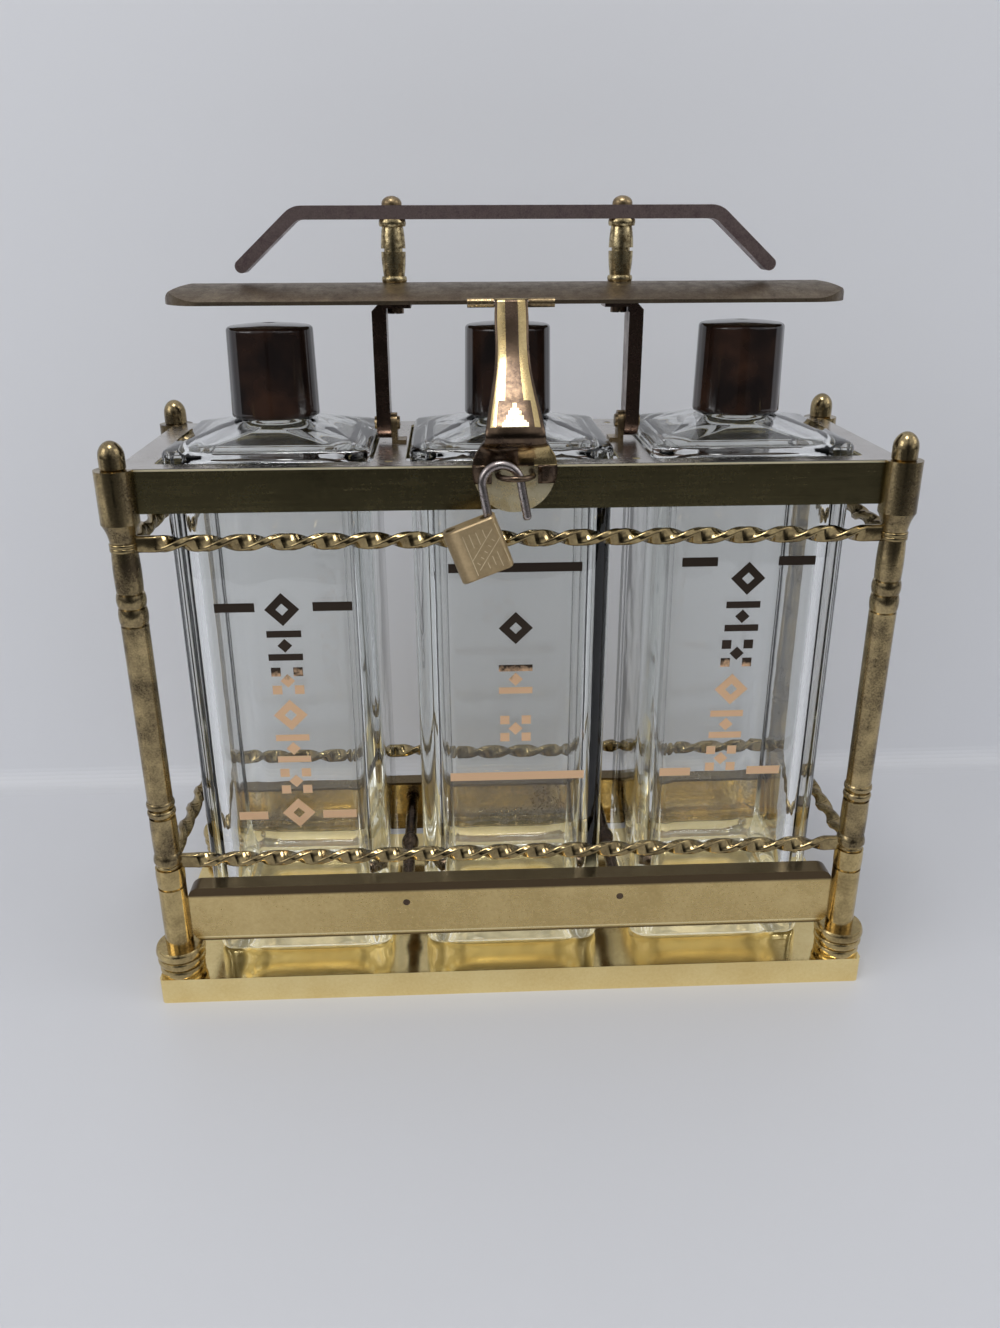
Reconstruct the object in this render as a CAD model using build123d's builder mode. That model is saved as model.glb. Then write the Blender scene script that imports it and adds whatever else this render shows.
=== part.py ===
from build123d import *
import os
from math import cos, radians, sin, sqrt

# A three-bottle stand with a hinged, lockable cover. Millimetres, +Z up, X along the length,
# the front towards -Y. The origin is on the ground, under the middle of the base.

# ---------------------------------------------------------------- base
base_margin_x = 8.5
base_margin_y = 9.0
base_height = 12.0
base_sheet = 1.0
base_corner = 2.0
board_gap = 0.1
nut_pocket_depth = 6.0
nut_pocket_radius = 5.0
nut_across_corners = 8.0
nut_height = 3.0

# ---------------------------------------------------------------- posts
side_room = 13.5
front_room = 9.5
tie_rod_radius = 2.0
tie_rod_fit = 0.1
tie_rod_tail = 1.0
collar_low_height = 4.0
collar_mid_height = 4.5
collar_top_height = 4.5
collar_low_radius = 9.0
collar_mid_radius = 9.6
collar_top_radius = 10.2
collar_groove = 1.2
collar_bulge = 0.5
collar_top_draw = 0.6
tube_radius = 5.8
tube_length = 29.0
tube_groove = 1.0
tube_groove_depth = 0.9
ferrule_length = 8.7
ferrule_bulge = 0.2
eye_thickness = 1.6
spindle_foot_radius = 5.9
spindle_foot_length = 4.3
spindle_foot_bulge = 0.4
spindle_neck_radius = 4.7
barrel_radius = 5.3
barrel_bulge = 0.15
low_barrel_length = 16.3
bead_length = 2.9
bead_radius = 5.7
shaft_radius = 5.2
shaft_taper = 0.1
tall_bead_length = 6.1
short_bead_length = 4.8
upper_bead_bulge = 0.35
groove_length = 0.9
groove_count = 5
groove_radius = 4.3
top_barrel_length = 15.6
top_barrel_foot_draw = 0.3
top_barrel_head_draw = 0.5
top_barrel_bulge = 0.25
head_height = 26.9
head_neck_radius = 5.0
head_neck_length = 1.5
head_draw = 0.3
head_cone_length = 5.8
head_radius = 7.05
finial_radius = 4.7
finial_length = 10.3
finial_skirt = 4.5
finial_thread_depth = 6.0
finial_edge = 0.5
dome_fullness = 0.55

# ---------------------------------------------------------------- tray
tray_height = 16.5
tray_below_shoulder = 3.5
tray_sheet = 1.2
tray_corner_notch = 2.4
bottle_gap = 15.0
tray_opening_fit = 3.0
tray_opening_corner = 3.0
tray_hole_radius = 1.5
tray_hole_inset = 8.5
seat_fit = 0.05

# ---------------------------------------------------------------- bands and spacers
band_height = 26.5
band_lift = 0.5
band_lip = 8.0
band_sheet = 1.2
band_corner = 5.0
spacer_radius = 2.75
spacer_bead_radius = 4.0
spacer_bead_half = 5.5
spacer_collar_radius = 3.4
spacer_collar_length = 4.0
spacer_collar_ramp = 1.0
spacer_spigot_radius = 1.5
spacer_height = 42.0

# ---------------------------------------------------------------- twisted bars
bar_width = 6.3
bar_thickness = 3.4
bar_eye_radius = 5.2
bar_half_turn = 15.6
bar_flat_min = 8.5
bar_taper = 3.0

# ---------------------------------------------------------------- decanters and caps
decanter_width = 77.0
decanter_shoulder_height = 221.5
decanter_corner = 6.0
shoulder_rise = 7.0
shoulder_top_width = 36.0
shoulder_top_flat = 1.0
glass_wall = 5.0
glass_base = 13.0
neck_radius = 12.5
neck_bore = 9.0
neck_length = 29.0
cap_gap = 1.0
cap_bottom_radius = 17.2
cap_top_radius = 16.6
cap_height = 34.5
cap_dome = 0.9
cap_edge = 1.0
cap_edge_cut = 0.3
cap_top_wall = 4.0
cap_neck_fit = 0.4
liner_thickness = 2.0
liner_fit = 0.3
liner_seat = 0.1

# ---------------------------------------------------------------- cover
cap_headroom = 13.2
cover_width = 44.0
cover_inset = 0.8
cover_end_run = 12.1
cover_end_aspect = 0.75
cover_end_bulge_x = 0.72
cover_end_bulge_z = 0.62
cover_sheet = 1.2
cover_arch_radius = 47.5
pillar_inset = 8.9
upright_gap = 0.1
upright_thickness = 5.5
upright_depth = 12.0
upright_foot_reach = 15.0
upright_foot_thickness = 2.2
upright_bend = 3.2
pivot_height = 7.5
rivet_radius = 1.5
rivet_fit = 0.05
rivet_head_radius = 2.8
rivet_head_height = 1.0
rivet_head_taper = 20.0
ear_thickness = 2.3
ear_inset = 4.2
ear_radius = 4.0
ear_foot_length = 3.4
ear_foot_thickness = 1.2
bush_radius = 4.2
bush_below_rim = 0.1
under_nut_radius = 3.2
under_nut_height = 2.2
nut_slot_width = 0.8
nut_slot_depth = 1.0
screw_radius = 1.5
screw_fit = 0.1
screw_head_radius = 3.75
screw_head_height = 3.3
screw_head_rim = 0.6
screw_dome_start = 0.62
pillar_height = 22.2
pillar_ring_top = 2.5
pillar_ring_bottom = 2.2
pillar_barrel_top = 7.6
pillar_groove = 1.2
pillar_ring_radius = 4.8
pillar_waist_radius = 3.95
pillar_belly_radius = 4.65
pillar_groove_radius = 3.5
pillar_ring_draw = 0.3
pillar_bulge = 0.15
handle_thickness = 4.8
handle_width = 8.0
handle_straight_half = 79.0
handle_end_reach = 21.0
handle_end_drop = 18.5
handle_bend = 7.0

# ---------------------------------------------------------------- hasp and staple
knuckle_radius = 1.7
knuckle_half_span = 16.0
knuckle_gap = 0.25
knuckle_slot_extra = 0.5
hasp_pin_radius = 0.8
hasp_pin_fit = 0.05
hasp_pin_out = 2.2
hasp_pin_sink = 0.7
leaf_thickness = 1.0
leaf_depth = 10.0
leaf_turn = 0.7
hasp_sheet = 1.2
hasp_strap_half = 6.0
hasp_neck_half = 10.6
hasp_flare_length = 22.0
hasp_disc_radius = 15.5
hasp_disc_rise = 1.0
hasp_lower_edge = 4.2
hasp_stand_off = 3.0
hasp_knee_reach = 4.0
hasp_knee_rise = 14.5
hasp_notch_half = 8.4
hasp_notch_rise = 2.6
hasp_knee_radius = 2.2
hasp_bow_radius = 14.0
hasp_bow_out = 5.5
hasp_bow_in = 16.0
hasp_bow_share = 0.36
hasp_heel_drop = 8.0
staple_drop = 2.4
staple_wire = 1.1
staple_half = 6.2
staple_reach = 15.0
staple_tail = 1.3
plate_radius = 15.0
plate_thickness = 1.2

# ---------------------------------------------------------------- padlock
shackle_radius = 1.6
shackle_bend = 6.9
shackle_tilt = 10.5
shackle_centre_x = -5.2
shackle_centre_drop = 2.4
shackle_clear = 0.4
free_leg_length = 14.6
free_leg_round = 1.2
leg_above_body = 10.2
leg_in_body = 8.0
lock_tilt = 21.0
lock_width = 20.0
lock_height = 20.0
lock_thickness = 9.0
lock_edge = 2.2
lock_rim = 0.5
leg_bore_radius = 2.45
leg_bore_extra = 0.8
socket_radius = 1.9
plug_radius = 3.0
plug_fit = 0.05
plug_top_below = 7.3
plug_pin_radius = 0.5
plug_pin_throw = 1.5
plug_pin_height = 1.9
plug_pin_angle = 30.0
key_slot_width = 0.9
key_slot_length = 3.8
key_slot_depth = 6.0
latch_height = 2.0
latch_top_below = 5.0
latch_width = 5.0
latch_nose_width = 2.4
latch_nose_x = -5.9
latch_shoulder_x = -4.3
latch_tail_x = 1.9
latch_travel = 1.5
latch_fit = 0.1
slot_fit = 0.2

# ---------------------------------------------------------------- heights and places that follow
decanter_half = decanter_width / 2
bottle_pitch = decanter_width + bottle_gap
post_x = bottle_pitch + decanter_half + side_room
post_y = decanter_half + front_room
post_span_x = 2 * post_x
post_span_y = 2 * post_y
base_length = 2 * (post_x + base_margin_x)
base_depth = 2 * (post_y + base_margin_y)
tray_opening = decanter_width + tray_opening_fit
tray_hole_span_y = 2 * (post_y - tray_hole_inset)
bore_radius = tie_rod_radius + tie_rod_fit
shoulder_top_corner = shoulder_top_width / 2 - shoulder_top_flat
collar_top = base_height + collar_low_height + collar_mid_height + collar_top_height
tube_top = collar_top + tube_length + tube_groove + ferrule_length
spindle_bottom = tube_top + 2 * eye_thickness
tray_top = base_height + decanter_shoulder_height - tray_below_shoulder
head_bottom = tray_top - head_height
spindle_top = head_bottom - 2 * eye_thickness
shaft_length = (spindle_top - spindle_bottom - spindle_foot_length - low_barrel_length - 2 * bead_length
                - tall_bead_length - short_bead_length - groove_count * groove_length - top_barrel_length)
tray_bottom = tray_top - tray_height
decanter_bottom = base_height
shoulder_bottom = decanter_bottom + decanter_shoulder_height
shoulder_top = shoulder_bottom + shoulder_rise
cap_bottom = shoulder_top + cap_gap
cap_top = cap_bottom + cap_height
neck_top = shoulder_top + neck_length
crown = cap_top + cap_headroom + cover_sheet
arch_centre = crown - cover_arch_radius
arch_inner_radius = cover_arch_radius - cover_sheet
rim_bottom = arch_centre + sqrt(arch_inner_radius ** 2 - (cover_width / 2) ** 2)
pivot = tray_top + pivot_height
foot_top = rim_bottom - bush_below_rim
foot_bottom = foot_top - upright_foot_thickness
ear_inner_x = tray_opening / 2 + ear_inset
upright_inner = ear_inner_x + ear_thickness + upright_gap
upright_outer = upright_inner + upright_thickness
pillar_x = upright_outer - pillar_inset
cover_half_length = bottle_pitch + decanter_half - cover_inset
cover_crown_half = cover_half_length - cover_end_run
handle_bottom = crown + pillar_height
handle_top = handle_bottom + handle_thickness
tray_front = -post_y
staple_z = tray_top - staple_drop
pin_y = -cover_width / 2 - hasp_pin_out
pin_z = rim_bottom + hasp_pin_sink

corners = {"front_left": (-1, -1), "front_right": (1, -1), "back_left": (-1, 1), "back_right": (1, 1)}
bottles = {"left": -bottle_pitch, "middle": 0.0, "right": bottle_pitch}
post_places = [(sx * post_x, sy * post_y) for sx, sy in corners.values()]

os.makedirs("parts", exist_ok=True)


def save(piece, name):
    """Label a finished piece and write it under its own name."""
    piece.part.label = name
    export_step(piece.part, f"parts/{name}.step")


def upright_plane(x, y):
    """The plane through a vertical axis at (x, y): its own x is the radius, its own y is the height."""
    return Plane(origin=(x, y, 0), x_dir=(1, 0, 0), z_dir=(0, -1, 0))


def turn(x, y, stations, bore):
    """Turn a piece about the vertical axis at (x, y), into the part that is being built.

    Each station is (radius, height, bulge): the outline climbs to it from the last one, along a
    straight line or along an arc that bulges outwards by so much. bore is the radius of the hole."""
    bottom = stations[0][1]
    with BuildSketch(upright_plane(x, y)) as outline:
        with BuildLine():
            last = (bore, bottom)
            for radius, height, bulge in stations:
                here = (radius, height)
                if bulge:
                    SagittaArc(last, here, -bulge)
                elif here != last:
                    Line(last, here)
                last = here
            Line(last, (bore, last[1]))
            Line((bore, last[1]), (bore, bottom))
        make_face()
    revolve(outline.sketch, axis=Axis((x, y, 0), (0, 0, 1)))


def climb(start, steps):
    """Stations of a turned outline from steps of (length, radius below, radius above, bulge)."""
    stations = []
    height = start
    for length, below, above, bulge in steps:
        stations.append((below, height, 0))
        height += length
        stations.append((above, height, bulge))
    return stations


# ================================================================ base
with BuildPart() as base_pan:
    with BuildSketch():
        RectangleRounded(base_length, base_depth, base_corner)
    extrude(amount=base_height)
    with BuildSketch():
        Rectangle(base_length - 2 * base_sheet, base_depth - 2 * base_sheet)
    extrude(amount=base_height - base_sheet, mode=Mode.SUBTRACT)
    with BuildSketch(Plane.XY.offset(base_height - base_sheet)):
        with Locations(post_places):
            Circle(bore_radius)
    extrude(amount=base_sheet, mode=Mode.SUBTRACT)
save(base_pan, "base_pan")

board_thickness = base_height - base_sheet
with BuildPart() as base_board:
    with BuildSketch():
        Rectangle(base_length - 2 * (base_sheet + board_gap), base_depth - 2 * (base_sheet + board_gap))
    extrude(amount=board_thickness)
    with BuildSketch():
        with Locations(post_places):
            Circle(bore_radius)
    extrude(amount=board_thickness, mode=Mode.SUBTRACT)
    with BuildSketch():
        with Locations(post_places):
            Circle(nut_pocket_radius)
    extrude(amount=nut_pocket_depth, mode=Mode.SUBTRACT)
save(base_board, "base_board")

nut_bottom = nut_pocket_depth - nut_height
with BuildPart() as base_nuts:
    with BuildSketch(Plane.XY.offset(nut_bottom)):
        with Locations(post_places):
            RegularPolygon(nut_across_corners / 2, 6)
            Circle(tie_rod_radius + seat_fit, mode=Mode.SUBTRACT)
    extrude(amount=nut_height)
save(base_nuts, "base_nuts")

rod_bottom = nut_bottom - tie_rod_tail
rod_top = tray_top + finial_thread_depth - tie_rod_fit
with BuildPart() as tie_rods:
    with BuildSketch(Plane.XY.offset(rod_bottom)):
        with Locations(post_places):
            Circle(tie_rod_radius)
    extrude(amount=rod_top - rod_bottom)
save(tie_rods, "tie_rods")

# ================================================================ posts
collar_steps = [
    (collar_low_height - collar_groove / 2, collar_low_radius, collar_low_radius, collar_bulge),
    (collar_groove, collar_low_radius - collar_groove, collar_mid_radius - collar_groove, 0),
    (collar_mid_height - collar_groove, collar_mid_radius, collar_mid_radius, collar_bulge),
    (collar_groove, collar_mid_radius - collar_groove, collar_top_radius - collar_groove, 0),
    (collar_top_height - collar_groove / 2, collar_top_radius, collar_top_radius - collar_top_draw,
     collar_bulge),
]
with BuildPart() as foot_collars:
    for place_x, place_y in post_places:
        turn(place_x, place_y, climb(base_height, collar_steps), bore_radius)
save(foot_collars, "foot_collars")

tube_steps = [
    (tube_length, tube_radius, tube_radius, 0),
    (tube_groove, tube_radius - tube_groove_depth, tube_radius - tube_groove_depth, 0),
    (ferrule_length, tube_radius, tube_radius, ferrule_bulge),
]
with BuildPart() as lower_tubes:
    for place_x, place_y in post_places:
        turn(place_x, place_y, climb(collar_top, tube_steps), bore_radius)
save(lower_tubes, "lower_tubes")

spindle_steps = [
    (spindle_foot_length, spindle_foot_radius, spindle_neck_radius, spindle_foot_bulge),
    (low_barrel_length, barrel_radius, barrel_radius, barrel_bulge),
    (groove_length, groove_radius, groove_radius, 0),
    (bead_length, shaft_radius, shaft_radius, bead_radius - shaft_radius),
    (groove_length, groove_radius, groove_radius, 0),
    (bead_length, shaft_radius, shaft_radius, bead_radius - shaft_radius),
    (shaft_length, shaft_radius - shaft_taper, shaft_radius, 0),
    (groove_length, groove_radius, groove_radius, 0),
    (tall_bead_length, shaft_radius, shaft_radius, upper_bead_bulge),
    (groove_length, groove_radius, groove_radius, 0),
    (short_bead_length, shaft_radius, shaft_radius, upper_bead_bulge),
    (groove_length, groove_radius, groove_radius, 0),
    (top_barrel_length, barrel_radius - top_barrel_foot_draw, barrel_radius - top_barrel_head_draw,
     top_barrel_bulge),
]
head_steps = [
    (head_neck_length, head_neck_radius - head_draw, head_neck_radius, 0),
    (head_cone_length, head_neck_radius, head_radius, -head_draw),
    (head_height - head_neck_length - head_cone_length, head_radius, head_radius, 0),
]
for corner, (sx, sy) in corners.items():
    place_x = sx * post_x
    place_y = sy * post_y
    with BuildPart() as spindle:
        turn(place_x, place_y, climb(spindle_bottom, spindle_steps), bore_radius)
    save(spindle, f"spindle_{corner}")

    with BuildPart() as post_head:
        turn(place_x, place_y, climb(head_bottom, head_steps), bore_radius)
        notch_side = head_radius + 1
        notch_x = place_x - sx * (notch_side / 2 - seat_fit)
        notch_y = place_y - sy * (notch_side / 2 - seat_fit)
        with BuildSketch(Plane.XY.offset(tray_bottom)):
            with Locations((notch_x, notch_y)):
                Rectangle(notch_side, notch_side)
        extrude(amount=tray_height, mode=Mode.SUBTRACT)
    save(post_head, f"post_head_{corner}")

with BuildPart() as finials:
    for place_x, place_y in post_places:
        with BuildSketch(upright_plane(place_x, place_y)):
            with BuildLine():
                Line((0, tray_top), (finial_radius - finial_edge, tray_top))
                Line((finial_radius - finial_edge, tray_top), (finial_radius, tray_top + finial_edge))
                Line((finial_radius, tray_top + finial_edge), (finial_radius, tray_top + finial_skirt))
                dome_rise = dome_fullness * (finial_length - finial_skirt)
                Bezier((finial_radius, tray_top + finial_skirt),
                       (finial_radius, tray_top + finial_skirt + dome_rise),
                       (dome_fullness * finial_radius, tray_top + finial_length),
                       (0, tray_top + finial_length))
                Line((0, tray_top + finial_length), (0, tray_top))
            make_face()
        revolve(axis=Axis((place_x, place_y, 0), (0, 0, 1)))
    with BuildSketch(Plane.XY.offset(tray_top)):
        with Locations(post_places):
            Circle(tie_rod_radius + seat_fit)
    extrude(amount=finial_thread_depth, mode=Mode.SUBTRACT)
save(finials, "finials")

# ================================================================ tray
with BuildPart() as upper_tray:
    with BuildSketch(Plane.XY.offset(tray_bottom)):
        Rectangle(post_span_x, post_span_y)
    extrude(amount=tray_height)
    with BuildSketch(Plane.XY.offset(tray_bottom)):
        Rectangle(post_span_x - 2 * tray_sheet, post_span_y - 2 * tray_sheet)
    extrude(amount=tray_height - tray_sheet, mode=Mode.SUBTRACT)
    with BuildSketch(Plane.XY.offset(tray_bottom)):
        with Locations([(x, 0) for x in bottles.values()]):
            RectangleRounded(tray_opening, tray_opening, tray_opening_corner)
        with Locations(post_places):
            Circle(tray_corner_notch)
        with GridLocations(bottle_pitch, tray_hole_span_y, 2, 2):
            Circle(tray_hole_radius)
    extrude(amount=tray_height, mode=Mode.SUBTRACT)
    with BuildSketch(Plane.XZ.offset(-tray_front)):
        with Locations((-staple_half, staple_z), (staple_half, staple_z)):
            Circle(staple_wire + seat_fit)
    extrude(amount=-tray_sheet, mode=Mode.SUBTRACT)
save(upper_tray, "upper_tray")

# ================================================================ bands and spacers
band_half = post_x - tube_radius - seat_fit
band_bottom = collar_top + band_lift
band_middle = band_bottom + band_height / 2
for band_name, way in (("front_band", 1), ("back_band", -1)):
    outer_y = -way * post_y
    band_plane = Plane(origin=(0, outer_y, band_middle), x_dir=(1, 0, 0), z_dir=(0, way, 0))
    with BuildPart() as band:
        with BuildSketch(band_plane):
            RectangleRounded(2 * band_half, band_height, band_corner)
        extrude(amount=band_lip)
        with BuildSketch(band_plane.offset(band_sheet)):
            RectangleRounded(2 * (band_half - band_sheet), band_height - 2 * band_sheet,
                             band_corner - band_sheet)
        extrude(amount=band_lip - band_sheet, mode=Mode.SUBTRACT)
        with BuildSketch(band_plane):
            with Locations((-bottle_pitch / 2, -way * (spacer_height - band_middle)),
                           (bottle_pitch / 2, -way * (spacer_height - band_middle))):
                Circle(spacer_spigot_radius + seat_fit)
        extrude(amount=band_sheet, mode=Mode.SUBTRACT)
    save(band, band_name)

spacer_reach = post_y - band_sheet
spacer_ramp_end = spacer_reach - spacer_collar_length - spacer_collar_ramp
with BuildPart() as bottle_spacers:
    for spacer_x in (-bottle_pitch / 2, bottle_pitch / 2):
        spacer_plane = Plane(origin=(spacer_x, 0, spacer_height), x_dir=(0, 0, 1), z_dir=(1, 0, 0))
        with BuildSketch(spacer_plane):
            with BuildLine():
                Line((0, -post_y), (spacer_spigot_radius, -post_y))
                Line((spacer_spigot_radius, -post_y), (spacer_spigot_radius, -spacer_reach))
                Line((spacer_spigot_radius, -spacer_reach), (spacer_collar_radius, -spacer_reach))
                Line((spacer_collar_radius, -spacer_reach),
                     (spacer_collar_radius, -spacer_reach + spacer_collar_length))
                Line((spacer_collar_radius, -spacer_reach + spacer_collar_length),
                     (spacer_radius, -spacer_ramp_end))
                Line((spacer_radius, -spacer_ramp_end), (spacer_radius, -spacer_bead_half))
                ThreePointArc((spacer_radius, -spacer_bead_half), (spacer_bead_radius, 0),
                              (spacer_radius, spacer_bead_half))
                Line((spacer_radius, spacer_bead_half), (spacer_radius, spacer_ramp_end))
                Line((spacer_radius, spacer_ramp_end),
                     (spacer_collar_radius, spacer_reach - spacer_collar_length))
                Line((spacer_collar_radius, spacer_reach - spacer_collar_length),
                     (spacer_collar_radius, spacer_reach))
                Line((spacer_collar_radius, spacer_reach), (spacer_spigot_radius, spacer_reach))
                Line((spacer_spigot_radius, spacer_reach), (spacer_spigot_radius, post_y))
                Line((spacer_spigot_radius, post_y), (0, post_y))
                Line((0, post_y), (0, -post_y))
            make_face()
        revolve(axis=Axis((spacer_x, 0, spacer_height), (0, 1, 0)))
save(bottle_spacers, "bottle_spacers")


# ================================================================ twisted bars
def twisted_bar(middle, along, span):
    """A flat bar with a left-handed twist, flattened at both ends into eyes that the tie rods hold."""
    half_turns = round((span - 2 * (bar_flat_min + bar_taper)) / bar_half_turn)
    twisted = half_turns * bar_half_turn
    across = Plane(origin=middle - along * (twisted / 2), z_dir=along, x_dir=Vector(0, 0, 1))
    with BuildSketch(across) as section:
        Rectangle(bar_thickness, bar_width)
    add(Solid.extrude_linear_with_rotation(section.sketch.faces()[0], across.origin,
                                           along * twisted, -180.0 * half_turns))
    for way in (-1, 1):
        outward = along * way
        end = middle + outward * (twisted / 2)
        eye = middle + outward * (span / 2)
        near = Plane(origin=end, z_dir=outward, x_dir=Vector(0, 0, 1))
        with BuildSketch(near) as thick:
            Rectangle(bar_thickness, bar_width)
        with BuildSketch(near.offset(bar_taper)) as thin:
            Rectangle(eye_thickness, bar_width)
        loft([thick.sketch.faces()[0], thin.sketch.faces()[0]])
        flat_length = (span - twisted) / 2 - bar_taper
        flat = Plane(origin=eye - Vector(0, 0, eye_thickness / 2), x_dir=outward, z_dir=Vector(0, 0, 1))
        with BuildSketch(flat) as plate:
            Circle(bar_eye_radius)
            with Locations((-flat_length / 2, 0)):
                Rectangle(flat_length, bar_width)
            Circle(bore_radius, mode=Mode.SUBTRACT)
        extrude(plate.sketch, amount=eye_thickness)


levels = {"lower": tube_top, "upper": spindle_top}
for level, eye_bottom in levels.items():
    side_z = eye_bottom + eye_thickness / 2
    long_z = side_z + eye_thickness
    for side, sy in (("front", -1), ("back", 1)):
        with BuildPart() as long_bar:
            twisted_bar(Vector(0, sy * post_y, long_z), Vector(1, 0, 0), post_span_x)
        save(long_bar, f"{level}_{side}_bar")
    for side, sx in (("left", -1), ("right", 1)):
        with BuildPart() as short_bar:
            twisted_bar(Vector(sx * post_x, 0, side_z), Vector(0, 1, 0), post_span_y)
        save(short_bar, f"{level}_{side}_bar")

# ================================================================ decanters and caps
shoulder_inner_top = shoulder_top - glass_wall / 2
bore_bottom = decanter_bottom + glass_base
for side, bottle_x in bottles.items():
    ground = Plane(origin=(bottle_x, 0, 0))
    with BuildPart() as decanter:
        with BuildSketch(ground.offset(decanter_bottom)):
            RectangleRounded(decanter_width, decanter_width, decanter_corner)
        extrude(amount=decanter_shoulder_height)
        with BuildSketch(ground.offset(shoulder_bottom)):
            RectangleRounded(decanter_width, decanter_width, decanter_corner)
        with BuildSketch(ground.offset(shoulder_top)):
            RectangleRounded(shoulder_top_width, shoulder_top_width, shoulder_top_corner)
        loft()
        with BuildSketch(ground.offset(shoulder_top)):
            Circle(neck_radius)
        extrude(amount=neck_length)
        inner_width = decanter_width - 2 * glass_wall
        with BuildSketch(ground.offset(bore_bottom)):
            RectangleRounded(inner_width, inner_width, decanter_corner)
        extrude(amount=shoulder_bottom - glass_wall - bore_bottom, mode=Mode.SUBTRACT)
        with BuildSketch(ground.offset(shoulder_bottom - glass_wall)):
            RectangleRounded(inner_width, inner_width, decanter_corner)
        with BuildSketch(ground.offset(shoulder_inner_top)):
            RectangleRounded(2 * neck_bore, 2 * neck_bore, neck_bore - seat_fit)
        loft(mode=Mode.SUBTRACT)
        with BuildSketch(ground.offset(shoulder_inner_top - glass_wall / 2)):
            Circle(neck_bore - seat_fit)
        extrude(amount=neck_top - shoulder_inner_top + glass_wall, mode=Mode.SUBTRACT)
    save(decanter, f"decanter_{side}")

    cap_shoulder = cap_top - cap_dome
    liner_top = cap_top - cap_top_wall
    cap_bore = neck_radius + cap_neck_fit
    with BuildPart() as cap:
        with BuildSketch(upright_plane(bottle_x, 0)):
            with BuildLine():
                Line((cap_bore, cap_bottom), (cap_bottom_radius, cap_bottom))
                Line((cap_bottom_radius, cap_bottom), (cap_top_radius, cap_shoulder - cap_edge))
                ThreePointArc((cap_top_radius, cap_shoulder - cap_edge),
                              (cap_top_radius - cap_edge_cut, cap_shoulder - cap_edge_cut),
                              (cap_top_radius - cap_edge, cap_shoulder))
                Bezier((cap_top_radius - cap_edge, cap_shoulder), (cap_top_radius / 2, cap_top), (0, cap_top))
                Line((0, cap_top), (0, liner_top))
                Line((0, liner_top), (cap_bore, liner_top))
                Line((cap_bore, liner_top), (cap_bore, cap_bottom))
            make_face()
        revolve(axis=Axis((bottle_x, 0, 0), (0, 0, 1)))
    save(cap, f"cap_{side}")

    liner_bottom = neck_top + liner_seat
    with BuildPart() as cap_liner:
        with BuildSketch(ground.offset(liner_bottom)):
            Circle(cap_bore - liner_fit)
        extrude(amount=liner_top - liner_seat - liner_bottom)
    save(cap_liner, f"cap_liner_{side}")

# ================================================================ cover
rim_half = cover_width / 2


def cover_form(inset):
    """The solid under the arch, drawn in by inset: an arched section, a plan with round ends and
    a front outline that drops at both ends, all three cut together."""
    radius = cover_arch_radius - inset
    half = rim_half - inset
    tip = cover_half_length - inset
    floor = rim_bottom if inset == 0 else rim_bottom - 1
    top = crown - inset
    end_half = half * cover_end_aspect
    bulge_x = cover_crown_half + (tip - cover_crown_half) * cover_end_bulge_x
    bulge_z = floor + (top - floor) * cover_end_bulge_z
    with BuildPart() as form:
        with BuildSketch(Plane.YZ.offset(-tip)):
            with Locations((0, arch_centre)):
                Circle(radius)
            with Locations((0, floor - radius)):
                Rectangle(4 * radius, 2 * radius, mode=Mode.SUBTRACT)
        extrude(amount=2 * tip)
        with BuildSketch(Plane.XY.offset(floor)):
            Rectangle(2 * (tip - end_half), 2 * half)
            with Locations((tip - end_half, 0), (end_half - tip, 0)):
                Ellipse(end_half, half)
        extrude(amount=radius, mode=Mode.INTERSECT)
        with BuildSketch(Plane.XZ.offset(-half)):
            with BuildLine():
                Line((-tip, floor), (tip, floor))
                ThreePointArc((tip, floor), (bulge_x, bulge_z), (cover_crown_half, top))
                Line((cover_crown_half, top), (-cover_crown_half, top))
                ThreePointArc((-cover_crown_half, top), (-bulge_x, bulge_z), (-tip, floor))
            make_face()
        extrude(amount=2 * half, mode=Mode.INTERSECT)
    return form.part


outer_form = cover_form(0)
inner_form = cover_form(cover_sheet)
screw_places = [(-pillar_x, 0), (pillar_x, 0)]
screw_hole = screw_radius + screw_fit
with BuildPart() as cover_strip:
    add(outer_form)
    add(inner_form, mode=Mode.SUBTRACT)
    with BuildSketch(Plane.XY.offset(rim_bottom)):
        with Locations(screw_places):
            Circle(screw_hole)
    extrude(amount=crown - rim_bottom + 1, mode=Mode.SUBTRACT)
save(cover_strip, "cover_strip")

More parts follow.
